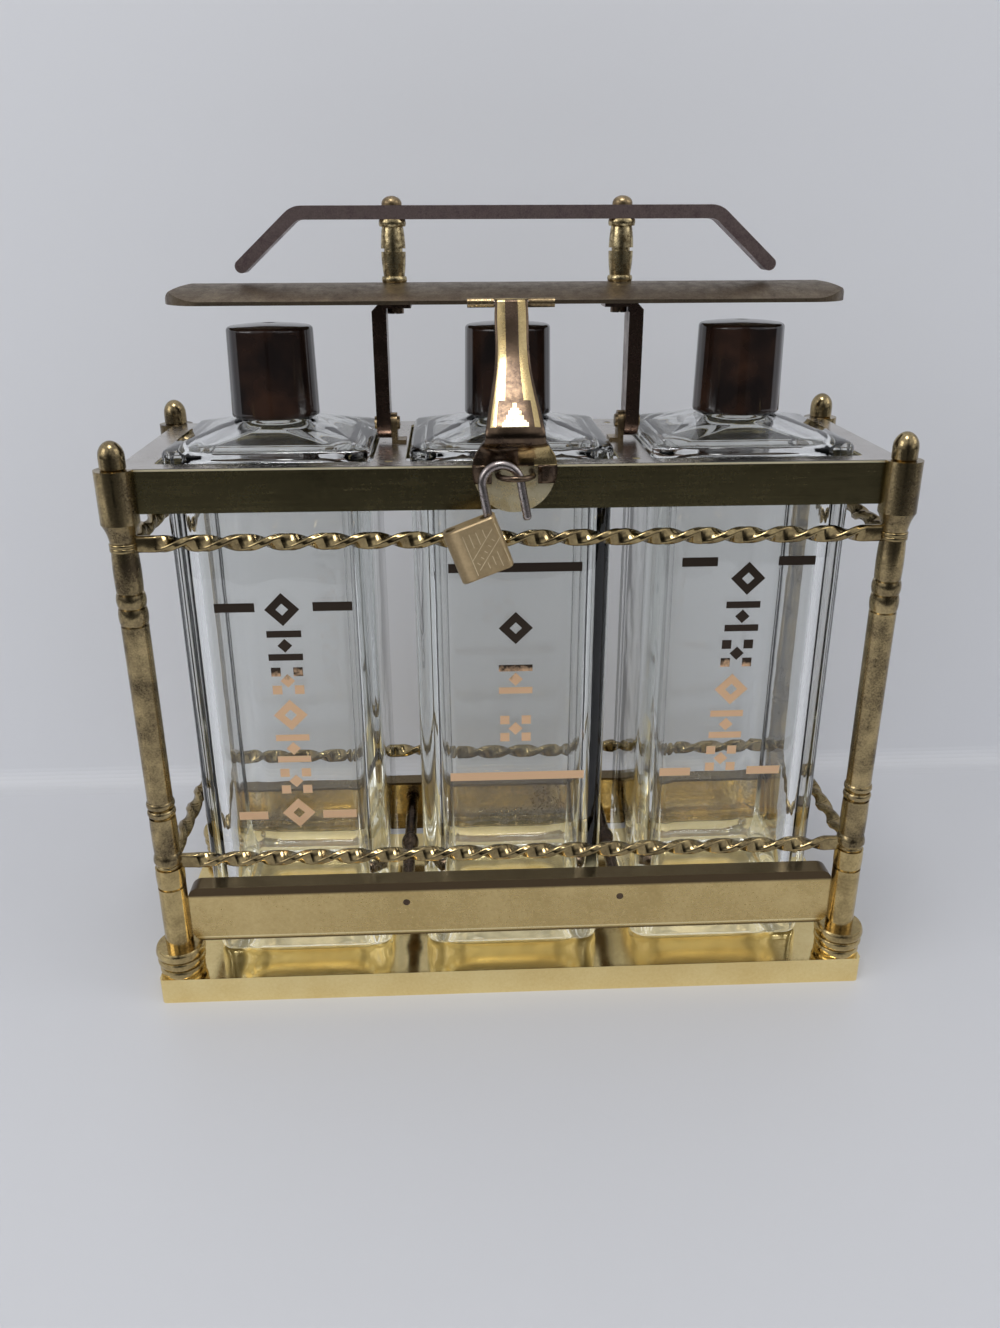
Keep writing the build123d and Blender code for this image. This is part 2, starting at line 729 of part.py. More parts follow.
foot_inner = upright_outer - upright_foot_reach
for side, sx in (("left", -1), ("right", 1)):
    with BuildPart() as upright:
        with BuildSketch(Plane.XZ):
            with BuildLine():
                Polyline((sx * upright_inner, pivot - upright_depth / 2),
                         (sx * upright_outer, pivot - upright_depth / 2),
                         (sx * upright_outer, foot_top - upright_bend),
                         (sx * (upright_outer - upright_bend), foot_top),
                         (sx * foot_inner, foot_top),
                         (sx * foot_inner, foot_bottom),
                         (sx * upright_inner, foot_bottom),
                         close=True)
            make_face()
        extrude(amount=upright_depth / 2, both=True)
        with BuildSketch(Plane.YZ.offset(sx * upright_inner)):
            with Locations((0, pivot)):
                Circle(upright_depth / 2)
            with Locations((0, (pivot + foot_top) / 2)):
                Rectangle(upright_depth, foot_top - pivot)
        extrude(amount=2 * upright_foot_reach, both=True, mode=Mode.INTERSECT)
        with BuildSketch(Plane.YZ):
            with Locations((0, pivot)):
                Circle(rivet_radius + rivet_fit)
        extrude(amount=post_x, both=True, mode=Mode.SUBTRACT)
        with BuildSketch(Plane.XY.offset(foot_bottom)):
            with Locations((sx * pillar_x, 0)):
                Circle(screw_hole)
        extrude(amount=upright_foot_thickness, mode=Mode.SUBTRACT)
    save(upright, f"cover_upright_{side}")

    with BuildPart() as ear:
        with BuildSketch(Plane.YZ.offset(sx * ear_inner_x)):
            with Locations((0, pivot)):
                Circle(ear_radius)
            with Locations((0, (pivot + tray_top) / 2)):
                Rectangle(2 * ear_radius, pivot - tray_top)
        extrude(amount=sx * ear_thickness)
        with BuildSketch(Plane.XY.offset(tray_top)):
            with Locations((sx * (ear_inner_x - ear_foot_length / 2), 0)):
                Rectangle(ear_foot_length, 2 * ear_radius)
        extrude(amount=ear_foot_thickness)
        with BuildSketch(Plane.YZ.offset(sx * ear_inner_x)):
            with Locations((0, pivot)):
                Circle(rivet_radius + rivet_fit)
        extrude(amount=sx * ear_thickness, mode=Mode.SUBTRACT)
    save(ear, f"hinge_ear_{side}")

rivet_outer = upright_outer + upright_gap
with BuildPart() as pivot_rivets:
    for sx in (-1, 1):
        with BuildSketch(Plane.YZ.offset(sx * ear_inner_x)):
            with Locations((0, pivot)):
                Circle(rivet_radius)
        extrude(amount=sx * (rivet_outer - ear_inner_x))
        for head_x, outward in ((ear_inner_x, -sx), (rivet_outer, sx)):
            with BuildSketch(Plane.YZ.offset(sx * head_x)):
                with Locations((0, pivot)):
                    Circle(rivet_head_radius)
            extrude(amount=outward * rivet_head_height, taper=rivet_head_taper)
save(pivot_rivets, "pivot_rivets")

with BuildPart() as arch_bushes:
    with BuildSketch(Plane.XY.offset(foot_top)):
        with Locations(screw_places):
            Circle(bush_radius)
            Circle(screw_hole, mode=Mode.SUBTRACT)
    extrude(amount=crown - cover_sheet - foot_top)
    add(Pos(0, 0, -seat_fit) * inner_form, mode=Mode.INTERSECT)
save(arch_bushes, "arch_bushes")

with BuildPart() as under_nuts:
    with BuildSketch(Plane.XY.offset(foot_bottom - under_nut_height)):
        with Locations(screw_places):
            Circle(under_nut_radius)
            Circle(screw_radius + seat_fit, mode=Mode.SUBTRACT)
    extrude(amount=under_nut_height)
    with BuildSketch(Plane.XY.offset(foot_bottom - under_nut_height)):
        with Locations(screw_places):
            Rectangle(nut_slot_width, 2 * under_nut_radius + 1)
    extrude(amount=nut_slot_depth, mode=Mode.SUBTRACT)
save(under_nuts, "under_nuts")

pillar_low_barrel = pillar_height - pillar_ring_top - pillar_ring_bottom - pillar_barrel_top - pillar_groove
pillar_foot_radius = pillar_ring_radius - pillar_ring_draw
pillar_steps = [
    (pillar_ring_bottom, pillar_foot_radius, pillar_foot_radius, pillar_ring_draw),
    (pillar_low_barrel, pillar_waist_radius, pillar_belly_radius, pillar_bulge),
    (pillar_groove, pillar_groove_radius, pillar_groove_radius, 0),
    (pillar_barrel_top, pillar_belly_radius, pillar_waist_radius, pillar_bulge),
    (pillar_ring_top, pillar_ring_radius, pillar_ring_radius, pillar_ring_draw),
]
crown_sag = cover_arch_radius - sqrt(cover_arch_radius ** 2 - pillar_ring_radius ** 2)
for side, sx in (("left", -1), ("right", 1)):
    with BuildPart() as pillar:
        turn(sx * pillar_x, 0, climb(crown, pillar_steps), screw_hole)
        with BuildSketch(Plane.XY.offset(crown - crown_sag)):
            with Locations((sx * pillar_x, 0)):
                Circle(pillar_foot_radius)
                Circle(screw_hole, mode=Mode.SUBTRACT)
        extrude(amount=crown_sag + pillar_ring_bottom / 2)
        add(Pos(0, 0, seat_fit) * outer_form, mode=Mode.SUBTRACT)
    save(pillar, f"handle_pillar_{side}")

handle_middle = handle_bottom + handle_thickness / 2
handle_end_x = handle_straight_half + handle_end_reach
handle_end_z = handle_middle - handle_end_drop
with BuildPart() as handle_bar:
    with BuildSketch(Plane.XZ.offset(-handle_width / 2)):
        with BuildLine() as handle_line:
            FilletPolyline((-handle_end_x, handle_end_z), (-handle_straight_half, handle_middle),
                           (handle_straight_half, handle_middle), (handle_end_x, handle_end_z),
                           radius=handle_bend)
        trace(handle_line.line, line_width=handle_thickness)
        with Locations((-handle_end_x, handle_end_z), (handle_end_x, handle_end_z)):
            Circle(handle_thickness / 2)
    extrude(amount=handle_width)
    with BuildSketch(Plane.XY.offset(handle_bottom)):
        with Locations(screw_places):
            Circle(screw_hole)
    extrude(amount=handle_thickness, mode=Mode.SUBTRACT)
save(handle_bar, "handle_bar")

with BuildPart() as handle_screws:
    for place_x, place_y in screw_places:
        with BuildSketch(upright_plane(place_x, place_y)):
            with BuildLine():
                Line((0, foot_bottom - under_nut_height), (screw_radius, foot_bottom - under_nut_height))
                Line((screw_radius, foot_bottom - under_nut_height), (screw_radius, handle_top))
                Line((screw_radius, handle_top), (screw_head_radius, handle_top))
                Line((screw_head_radius, handle_top), (screw_head_radius, handle_top + screw_head_rim))
                Bezier((screw_head_radius, handle_top + screw_head_rim),
                       (screw_head_radius, handle_top + screw_dome_start * screw_head_height),
                       (dome_fullness * screw_head_radius, handle_top + screw_head_height),
                       (0, handle_top + screw_head_height))
                Line((0, handle_top + screw_head_height), (0, foot_bottom - under_nut_height))
            make_face()
        revolve(axis=Axis((place_x, place_y, 0), (0, 0, 1)))
save(handle_screws, "handle_screws")

# ================================================================ hasp hinge and hasp
leaf_outer = arch_inner_radius - seat_fit
leaf_front = rim_half - cover_sheet - seat_fit
leaf_turn_top = rim_bottom - seat_fit
with BuildPart() as hasp_hinge_leaf:
    with BuildSketch(Plane.YZ.offset(-knuckle_half_span)):
        with Locations((0, arch_centre)):
            Circle(leaf_outer)
            Circle(leaf_outer - leaf_thickness, mode=Mode.SUBTRACT)
        with Locations((-leaf_front + leaf_depth / 2, crown)):
            Rectangle(leaf_depth, cover_arch_radius, mode=Mode.INTERSECT)
    extrude(amount=2 * knuckle_half_span)
    with BuildSketch(Plane.YZ.offset(-knuckle_half_span)):
        with Locations((pin_y, pin_z)):
            Circle(knuckle_radius)
        with Locations(((pin_y - leaf_front + leaf_turn) / 2, (pin_z - knuckle_radius + leaf_turn_top) / 2)):
            Rectangle(leaf_turn - leaf_front - pin_y, leaf_turn_top - pin_z + knuckle_radius)
    extrude(amount=2 * knuckle_half_span)
    with BuildSketch(Plane.XY.offset(pin_z)):
        with Locations((0, pin_y)):
            Rectangle(2 * (hasp_strap_half + knuckle_gap), 2 * (hasp_pin_out + knuckle_slot_extra))
    extrude(amount=3 * knuckle_radius, both=True, mode=Mode.SUBTRACT)
    with BuildSketch(Plane.YZ.offset(-knuckle_half_span)):
        with Locations((pin_y, pin_z)):
            Circle(hasp_pin_radius + hasp_pin_fit)
    extrude(amount=2 * knuckle_half_span, mode=Mode.SUBTRACT)
save(hasp_hinge_leaf, "hasp_hinge_leaf")

with BuildPart() as hasp_pin:
    with BuildSketch(Plane.YZ.offset(-knuckle_half_span)):
        with Locations((pin_y, pin_z)):
            Circle(hasp_pin_radius)
    extrude(amount=2 * knuckle_half_span)
save(hasp_pin, "hasp_pin")

disc_y = tray_front - hasp_stand_off
disc_z = staple_z + hasp_disc_rise
disc_bottom = staple_z - hasp_lower_edge
knee_z = staple_z + hasp_knee_rise
knee_y = disc_y - hasp_knee_reach
strap_start_y = pin_y - knuckle_radius + hasp_sheet / 2
strap_drop = pin_z - knee_z
flare_top = knee_z + hasp_flare_length
neck_bottom = disc_z + hasp_disc_radius / 2
with BuildPart() as hasp:
    with BuildSketch(Plane.YZ.offset(-hasp_disc_radius)):
        with BuildLine() as strap_line:
            FilletPolyline((strap_start_y, pin_z),
                           (strap_start_y - hasp_bow_out, pin_z - strap_drop * hasp_bow_share),
                           (knee_y + hasp_bow_in, knee_z + strap_drop * hasp_bow_share),
                           (knee_y, knee_z),
                           (disc_y, knee_z - hasp_heel_drop),
                           (disc_y, disc_bottom),
                           radius=[hasp_bow_radius, hasp_bow_radius, hasp_knee_radius, 2 * hasp_knee_radius])
        trace(strap_line.line, line_width=hasp_sheet)
    extrude(amount=2 * hasp_disc_radius)
    with BuildSketch(Plane.XZ.offset(-pin_y - 10)):
        with Locations((0, (knee_z + pin_z) / 2)):
            Rectangle(2 * hasp_strap_half, pin_z - knee_z + 4)
        with BuildLine():
            Polyline((-hasp_strap_half, flare_top), (hasp_strap_half, flare_top),
                     (hasp_neck_half, knee_z), (hasp_neck_half, neck_bottom),
                     (-hasp_neck_half, neck_bottom), (-hasp_neck_half, knee_z),
                     close=True)
        make_face()
        with Locations((0, disc_z)):
            Circle(hasp_disc_radius)
        with Locations((0, disc_bottom - hasp_disc_radius)):
            Rectangle(3 * hasp_disc_radius, 2 * hasp_disc_radius, mode=Mode.SUBTRACT)
        with Locations((0, staple_z + hasp_notch_rise - hasp_disc_radius / 2)):
            Rectangle(2 * hasp_notch_half, hasp_disc_radius, mode=Mode.SUBTRACT)
    extrude(amount=3 * post_y, both=True, mode=Mode.INTERSECT)
    with BuildSketch(Plane.YZ.offset(-hasp_strap_half)):
        with Locations((pin_y, pin_z)):
            Circle(knuckle_radius)
    extrude(amount=2 * hasp_strap_half)
    with BuildSketch(Plane.YZ.offset(-hasp_strap_half)):
        with Locations((pin_y, pin_z)):
            Circle(hasp_pin_radius + hasp_pin_fit)
    extrude(amount=2 * hasp_strap_half, mode=Mode.SUBTRACT)
save(hasp, "hasp")

# ================================================================ staple and its plate
ring_centre_y = tray_front - staple_reach + staple_wire + staple_half
tail_y = tray_front + tray_sheet + staple_tail
with BuildPart() as staple:
    with BuildLine(Plane.XY.offset(staple_z)) as ring_line:
        Line((-staple_half, tail_y), (-staple_half, ring_centre_y))
        CenterArc((0, ring_centre_y), staple_half, 180, 180)
        Line((staple_half, ring_centre_y), (staple_half, tail_y))
    with BuildSketch(Plane(origin=(-staple_half, tail_y, staple_z), x_dir=(1, 0, 0), z_dir=(0, -1, 0))):
        Circle(staple_wire)
    sweep(path=ring_line.line)
save(staple, "staple")

with BuildPart() as staple_plate:
    with BuildSketch(Plane.XZ.offset(-tray_front)):
        with Locations((0, staple_z)):
            Circle(plate_radius)
        with Locations((0, tray_top + plate_radius)):
            Rectangle(3 * plate_radius, 2 * plate_radius, mode=Mode.SUBTRACT)
        with Locations((-staple_half, staple_z), (staple_half, staple_z)):
            Circle(staple_wire + seat_fit, mode=Mode.SUBTRACT)
    extrude(amount=plate_thickness)
save(staple_plate, "staple_plate")

# ================================================================ padlock
lean = radians(shackle_tilt)
lock_y = tray_front - staple_reach + 2 * staple_wire + shackle_clear + shackle_radius
shackle_down = Vector(sin(lean), 0, -cos(lean))
shackle_across = Vector(cos(lean), 0, sin(lean))
shackle_centre = Vector(shackle_centre_x, lock_y, staple_z - shackle_centre_drop)
long_leg_length = leg_above_body + leg_in_body
shackle_plane = Plane(origin=shackle_centre, x_dir=shackle_across, z_dir=(0, -1, 0))
tip = shackle_centre + shackle_across * shackle_bend + shackle_down * free_leg_length
with BuildPart() as shackle:
    with BuildLine(shackle_plane) as shackle_line:
        Line((shackle_bend, -free_leg_length), (shackle_bend, 0))
        CenterArc((0, 0), shackle_bend, 0, 180)
        Line((-shackle_bend, 0), (-shackle_bend, -long_leg_length))
    with BuildSketch(Plane(origin=tip, x_dir=(0, 1, 0), z_dir=-shackle_down)):
        Circle(shackle_radius)
    sweep(path=shackle_line.line)
    fillet(shackle.faces().sort_by_distance(tip)[0].edges(), free_leg_round)
save(shackle, "shackle")

turn_angle = radians(lock_tilt)
lock_up = Vector(-sin(turn_angle), 0, cos(turn_angle))
lock_across = Vector(cos(turn_angle), 0, sin(turn_angle))
long_leg_start = shackle_centre - shackle_across * shackle_bend
leg_middle = long_leg_start + shackle_down * (leg_above_body + leg_in_body / 2)
lock_top_centre = leg_middle + lock_up * (leg_in_body / 2) - lock_across * shackle_bend
lock_top = Plane(origin=lock_top_centre, x_dir=lock_across, z_dir=lock_up)
channel_top = latch_top_below - latch_fit
channel_height = latch_height + 2 * latch_fit
plug_bore_top = latch_top_below + latch_height + latch_fit
channel_tail = latch_tail_x + latch_travel + latch_fit
with BuildPart() as lock_body:
    with BuildSketch(lock_top):
        RectangleRounded(lock_width, lock_thickness, lock_edge)
    extrude(amount=-lock_height)
    end_faces = lock_body.faces().filter_by(Axis(lock_top_centre, lock_up))
    chamfer(end_faces.edges(), lock_rim)
    with BuildSketch(lock_top):
        with Locations((shackle_bend, 0)):
            Circle(leg_bore_radius)
    extrude(amount=-(leg_in_body + leg_bore_extra), mode=Mode.SUBTRACT)
    with BuildSketch(lock_top):
        with Locations((-shackle_bend, 0)):
            Circle(socket_radius)
    extrude(amount=-(leg_in_body + leg_bore_extra), mode=Mode.SUBTRACT)
    with BuildSketch(lock_top.offset(-lock_height)):
        Circle(plug_radius + plug_fit)
    extrude(amount=lock_height - plug_bore_top, mode=Mode.SUBTRACT)
    with BuildSketch(lock_top.offset(-channel_top)):
        with Locations(((latch_shoulder_x - latch_fit + channel_tail) / 2, 0)):
            Rectangle(channel_tail - latch_shoulder_x + latch_fit, latch_width + 2 * latch_fit)
        with Locations(((latch_nose_x + latch_shoulder_x) / 2, 0)):
            Rectangle(latch_shoulder_x - latch_nose_x + 1, latch_nose_width + 2 * latch_fit)
    extrude(amount=-channel_height, mode=Mode.SUBTRACT)
save(lock_body, "lock_body")

rest_angle = radians(plug_pin_angle)
pin_rest_x = -plug_pin_throw * sin(rest_angle)
pin_rest_y = -plug_pin_throw * cos(rest_angle)
plug_length = lock_height - plug_top_below
with BuildPart() as key_plug:
    with BuildSketch(lock_top.offset(-lock_height)):
        Circle(plug_radius)
    extrude(amount=plug_length)
    with BuildSketch(lock_top.offset(-plug_top_below)):
        with Locations((pin_rest_x, pin_rest_y)):
            Circle(plug_pin_radius)
    extrude(amount=plug_pin_height)
    with BuildSketch(lock_top.offset(-lock_height)):
        Rectangle(key_slot_width, key_slot_length)
    extrude(amount=key_slot_depth, mode=Mode.SUBTRACT)
save(key_plug, "key_plug")

slot_length_y = plug_pin_throw * (1 - cos(rest_angle))
with BuildPart() as latch:
    with BuildSketch(lock_top.offset(-latch_top_below)):
        with Locations(((latch_shoulder_x + latch_tail_x) / 2, 0)):
            Rectangle(latch_tail_x - latch_shoulder_x, latch_width)
        with Locations(((latch_nose_x + latch_shoulder_x) / 2 + slot_fit, 0)):
            Rectangle(latch_shoulder_x - latch_nose_x + 2 * slot_fit, latch_nose_width)
        with Locations((pin_rest_x, pin_rest_y - slot_length_y / 2)):
            Rectangle(2 * (plug_pin_radius + slot_fit), slot_length_y + 2 * (plug_pin_radius + slot_fit),
                      mode=Mode.SUBTRACT)
    extrude(amount=-latch_height)
save(latch, "latch")
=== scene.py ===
import bpy
import numpy as np
from mathutils import Matrix, Vector

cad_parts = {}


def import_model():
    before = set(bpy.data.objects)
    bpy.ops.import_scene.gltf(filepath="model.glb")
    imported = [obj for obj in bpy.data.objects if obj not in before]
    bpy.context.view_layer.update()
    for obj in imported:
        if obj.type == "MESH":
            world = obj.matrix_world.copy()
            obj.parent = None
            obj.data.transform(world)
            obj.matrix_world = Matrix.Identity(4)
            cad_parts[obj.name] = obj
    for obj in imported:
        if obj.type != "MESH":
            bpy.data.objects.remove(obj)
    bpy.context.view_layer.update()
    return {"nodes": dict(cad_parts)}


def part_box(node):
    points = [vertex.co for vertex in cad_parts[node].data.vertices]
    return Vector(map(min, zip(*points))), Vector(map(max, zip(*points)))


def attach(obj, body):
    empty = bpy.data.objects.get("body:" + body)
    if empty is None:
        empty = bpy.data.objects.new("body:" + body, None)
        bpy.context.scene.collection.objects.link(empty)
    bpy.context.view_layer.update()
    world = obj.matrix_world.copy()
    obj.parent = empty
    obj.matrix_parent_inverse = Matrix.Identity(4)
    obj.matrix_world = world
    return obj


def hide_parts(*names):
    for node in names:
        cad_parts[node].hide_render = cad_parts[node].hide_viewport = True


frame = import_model()

# A brass stand with twisted rails, three square bottles and a hinged cover that a padlock holds.
# Sizes are in metres, in the frame's own axes: +X right, +Y back, +Z up.
MM = 0.001
LOCK_LEAN = np.radians(21.0)
NODES = frame["nodes"]
CORNERS = ("front_left", "front_right", "back_left", "back_right")
SIDES = ("left", "middle", "right")


# ---------------------------------------------------------------- meshes
def new_piece(name, points, faces, material, body, replaces=(), smooth=True, finishes=None):
    """A mesh from an array of points and a list of faces, that rides on a body of the frame. material
    may be a list, and finishes then gives each face's place in it."""
    mesh = bpy.data.meshes.new(name)
    mesh.from_pydata(np.asarray(points, float).tolist(), [], faces)
    mesh.update()
    mesh.polygons.foreach_set("use_smooth", np.full(len(mesh.polygons), smooth))
    for one in material if isinstance(material, list) else [material]:
        mesh.materials.append(one)
    if finishes is not None:
        mesh.polygons.foreach_set("material_index", finishes)
    piece = bpy.data.objects.new(name, mesh)
    bpy.context.scene.collection.objects.link(piece)
    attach(piece, body)
    if replaces:
        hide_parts(*replaces)
    return piece


def grid_faces(rows, columns, closed=True, flip=False):
    """Quads over a grid of rows by columns of points, closed round the columns or not."""
    steps = columns if closed else columns - 1
    i, j = np.meshgrid(np.arange(rows - 1), np.arange(steps), indexing="ij")
    k = (j + 1) % columns
    quads = np.stack([i * columns + j, i * columns + k, (i + 1) * columns + k, (i + 1) * columns + j], -1)
    quads = quads.reshape(-1, 4)
    return (quads[:, ::-1] if flip else quads).tolist()


def capped(rows, columns, flip=False):
    """The quads of a closed tube of rings, and one face over each of its two ends."""
    faces = grid_faces(rows, columns, True, flip)
    first = list(range(columns))[::-1]
    last = list(range((rows - 1) * columns, rows * columns))
    if flip:
        first, last = first[::-1], last[::-1]
    return faces + [first, last]


def ring_faces(rows, columns):
    """The quads of a ring: a grid closed round its columns, and its last row joined to its first."""
    last = (rows - 1) * columns
    joined = [[last + j, last + (j + 1) % columns, (j + 1) % columns, j] for j in range(columns)]
    return grid_faces(rows, columns) + joined


def plate_faces(base):
    """The six faces of a thin plate whose corners start at number base: four on its outer side,
    anticlockwise as seen from there, and the same four on its inner side."""
    rim = [[base + (k + 1) % 4, base + k, base + 4 + k, base + 4 + (k + 1) % 4] for k in range(4)]
    return [[base, base + 1, base + 2, base + 3], [base + 7, base + 6, base + 5, base + 4]] + rim


def rounded_square(half, corner):
    """Points round a square with round corners, from its half width and its corner radius, as
    arrays that may differ ring by ring: four quarter turns about the corners' centres."""
    per_corner = 10
    quarter = np.linspace(0, np.pi / 2, per_corner)
    angle = (quarter[None, :] + np.arange(4)[:, None] * np.pi / 2).ravel()
    sign_x = np.repeat([1, -1, -1, 1], per_corner)
    sign_y = np.repeat([1, 1, -1, -1], per_corner)
    half = np.asarray(half)[..., None]
    corner = np.asarray(corner)[..., None]
    x = sign_x * (half - corner) + corner * np.cos(angle)
    y = sign_y * (half - corner) + corner * np.sin(angle)
    return x, y


def arc_pairs(centre, radius, start, end, count):
    """Points (radius, height) on an arc about centre, from one angle to another in degrees."""
    turn = np.radians(np.linspace(start, end, count))
    return np.stack([centre[0] + radius * np.cos(turn), centre[1] + radius * np.sin(turn)], -1)


# ---------------------------------------------------------------- shader groups
def make_group(name, inputs, outputs):
    """An empty shader group with named inputs (name, kind, value) and outputs (name, kind)."""
    tree = bpy.data.node_groups.new(name, "ShaderNodeTree")
    kinds = {"value": "NodeSocketFloat", "color": "NodeSocketColor", "vector": "NodeSocketVector"}
    for label, kind, value in inputs:
        socket = tree.interface.new_socket(name=label, in_out="INPUT", socket_type=kinds[kind])
        if kind != "vector":
            socket.default_value = value
    for label, kind in outputs:
        tree.interface.new_socket(name=label, in_out="OUTPUT", socket_type=kinds[kind])
    return tree, tree.nodes.new("NodeGroupInput"), tree.nodes.new("NodeGroupOutput")


def feed(tree, socket, value):
    """Link a socket to a node's input, or set the input where the value is a plain one."""
    if isinstance(value, bpy.types.NodeSocket):
        tree.links.new(value, socket)
    else:
        socket.default_value = value


def add_node(tree, kind, **settings):
    """A node of a kind with its settings; a setting named after a socket sets or links that socket."""
    node = tree.nodes.new(kind)
    for key, value in settings.items():
        label = key.replace("_", " ")
        if hasattr(node, key) and not isinstance(value, bpy.types.NodeSocket):
            setattr(node, key, value)
            continue
        feed(tree, node.inputs[label] if label in node.inputs else node.inputs[int(key[1:])], value)
    return node


def maths(tree, operation, first, second=0.0, third=0.0, clamp=False):
    """A Math node's output; each operand is a number or a socket."""
    node = tree.nodes.new("ShaderNodeMath")
    node.operation = operation
    node.use_clamp = clamp
    for socket, value in zip(node.inputs, (first, second, third)):
        feed(tree, socket, value)
    return node.outputs[0]


def blend_colors(tree, factor, first, second):
    """A Mix node over two colours; each operand is a value or a socket."""
    node = tree.nodes.new("ShaderNodeMix")
    node.data_type = "RGBA"
    for number, value in ((0, factor), (6, first), (7, second)):
        feed(tree, node.inputs[number], value)
    return node.outputs[2]


def height_in(tree, place):
    """The height of a place: the third part of its vector."""
    parts = tree.nodes.new("ShaderNodeSeparateXYZ")
    tree.links.new(place, parts.inputs[0])
    return parts.outputs[2]


def share_of(tree, value, start, span):
    """How much of a span value has passed since start: (value - start) / span, held in 0 to 1."""
    return maths(tree, "DIVIDE", maths(tree, "SUBTRACT", value, start), span, clamp=True)


def make_patina():
    """Tarnish: a mask of broad clouds and fine speckle turns fresh metal into aged. The mask is
    contrast * (0.65 * clouds + 0.35 * speckle - 0.5) + amount."""
    tree, source, out = make_group("tarnish", [
        ("Vector", "vector", None), ("Fresh", "color", (1, 1, 1, 1)), ("Aged", "color", (0, 0, 0, 1)),
        ("Cloud Scale", "value", 60.0), ("Speckle Scale", "value", 700.0), ("Amount", "value", 0.5),
        ("Contrast", "value", 3.0)], [("Color", "color"), ("Mask", "value"), ("Height", "value")])
    cloud = add_node(tree, "ShaderNodeTexNoise", Vector=source.outputs["Vector"],
                     Scale=source.outputs["Cloud Scale"], Detail=5.0, Roughness=0.62)
    speckle = add_node(tree, "ShaderNodeTexNoise", Vector=source.outputs["Vector"],
                       Scale=source.outputs["Speckle Scale"], Detail=3.0, Roughness=0.7)
    clouds = maths(tree, "MULTIPLY", cloud.outputs[0], 0.65)
    both = maths(tree, "MULTIPLY_ADD", speckle.outputs[0], 0.35, clouds)
    spread = maths(tree, "MULTIPLY_ADD", maths(tree, "SUBTRACT", both, 0.5), source.outputs["Contrast"],
                   source.outputs["Amount"], True)
    color = blend_colors(tree, spread, source.outputs["Fresh"], source.outputs["Aged"])
    tree.links.new(color, out.inputs["Color"])
    tree.links.new(spread, out.inputs["Mask"])
    tree.links.new(both, out.inputs["Height"])
    return tree


def make_brushing():
    """Fine scratches: noise stretched by a Stretch vector, so that its streaks run one way."""
    tree, source, out = make_group("brushing", [
        ("Vector", "vector", None), ("Stretch", "vector", None), ("Scale", "value", 900.0)],
        [("Streak", "value")])
    stretched = add_node(tree, "ShaderNodeVectorMath", operation="MULTIPLY", _0=source.outputs["Vector"],
                         _1=source.outputs["Stretch"])
    streak = add_node(tree, "ShaderNodeTexNoise", Vector=stretched.outputs[0], Scale=source.outputs["Scale"],
                      Detail=3.0, Roughness=0.6)
    tree.links.new(streak.outputs[0], out.inputs["Streak"])
    return tree


PATINA = make_patina()
BRUSHING = make_brushing()


def new_material(name):
    """A material with an empty tree, its Principled shader and its Object coordinates."""
    material = bpy.data.materials.new(name)
    material.use_nodes = True
    tree = material.node_tree
    shader = tree.nodes["Principled BSDF"]
    place = tree.nodes.new("ShaderNodeTexCoord").outputs["Object"]
    return material, tree, shader, place


def metal(name, fresh, aged, amount, smooth, rough, cloud=60.0, speckle=700.0, contrast=3.0,
          bump=0.15, stretch=(1, 1, 1), streaks=0.0, metallic=1.0):
    """A metal whose tarnish mask drives its colour and roughness, with optional brushing. metallic is
    under 1 where a satin face also scatters light."""
    material, tree, shader, place = new_material(name)
    tarnish = tree.nodes.new("ShaderNodeGroup")
    tarnish.node_tree = PATINA
    tree.links.new(place, tarnish.inputs["Vector"])
    tarnish.inputs["Fresh"].default_value = (*fresh, 1)
    tarnish.inputs["Aged"].default_value = (*aged, 1)
    tarnish.inputs["Cloud Scale"].default_value = cloud
    tarnish.inputs["Speckle Scale"].default_value = speckle
    tarnish.inputs["Amount"].default_value = amount
    tarnish.inputs["Contrast"].default_value = contrast
    roughness = maths(tree, "MULTIPLY_ADD", tarnish.outputs["Mask"], rough - smooth, smooth)
    height = tarnish.outputs["Height"]
    if streaks:
        brushing = tree.nodes.new("ShaderNodeGroup")
        brushing.node_tree = BRUSHING
        tree.links.new(place, brushing.inputs["Vector"])
        brushing.inputs["Stretch"].default_value = stretch
        streak = maths(tree, "SUBTRACT", brushing.outputs["Streak"], 0.5)
        roughness = maths(tree, "MULTIPLY_ADD", streak, streaks, roughness, True)
        height = maths(tree, "MULTIPLY_ADD", streak, streaks * 2, height)
    relief = add_node(tree, "ShaderNodeBump", Strength=bump, Distance=0.0004, Height=height)
    tree.links.new(tarnish.outputs["Color"], shader.inputs["Base Color"])
    tree.links.new(roughness, shader.inputs["Roughness"])
    tree.links.new(relief.outputs[0], shader.inputs["Normal"])
    shader.inputs["Metallic"].default_value = metallic
    return material


def tint_between(material, low, high, soft, color, roughness=None):
    """Give a material another colour, and if stated another roughness, between two heights: a soft
    step up at low times a soft step down at high."""
    tree = material.node_tree
    shader = tree.nodes["Principled BSDF"]
    level = height_in(tree, tree.nodes.new("ShaderNodeTexCoord").outputs["Object"])
    inside = maths(tree, "MULTIPLY", share_of(tree, level, low, soft), share_of(tree, high, level, soft))
    paint = shader.inputs["Base Color"].links[0].from_socket
    tree.links.new(blend_colors(tree, inside, paint, (*color, 1)), shader.inputs["Base Color"])
    if roughness is not None:
        rough = shader.inputs["Roughness"].links[0].from_socket
        step = maths(tree, "SUBTRACT", roughness, rough)
        tree.links.new(maths(tree, "MULTIPLY_ADD", inside, step, rough), shader.inputs["Roughness"])


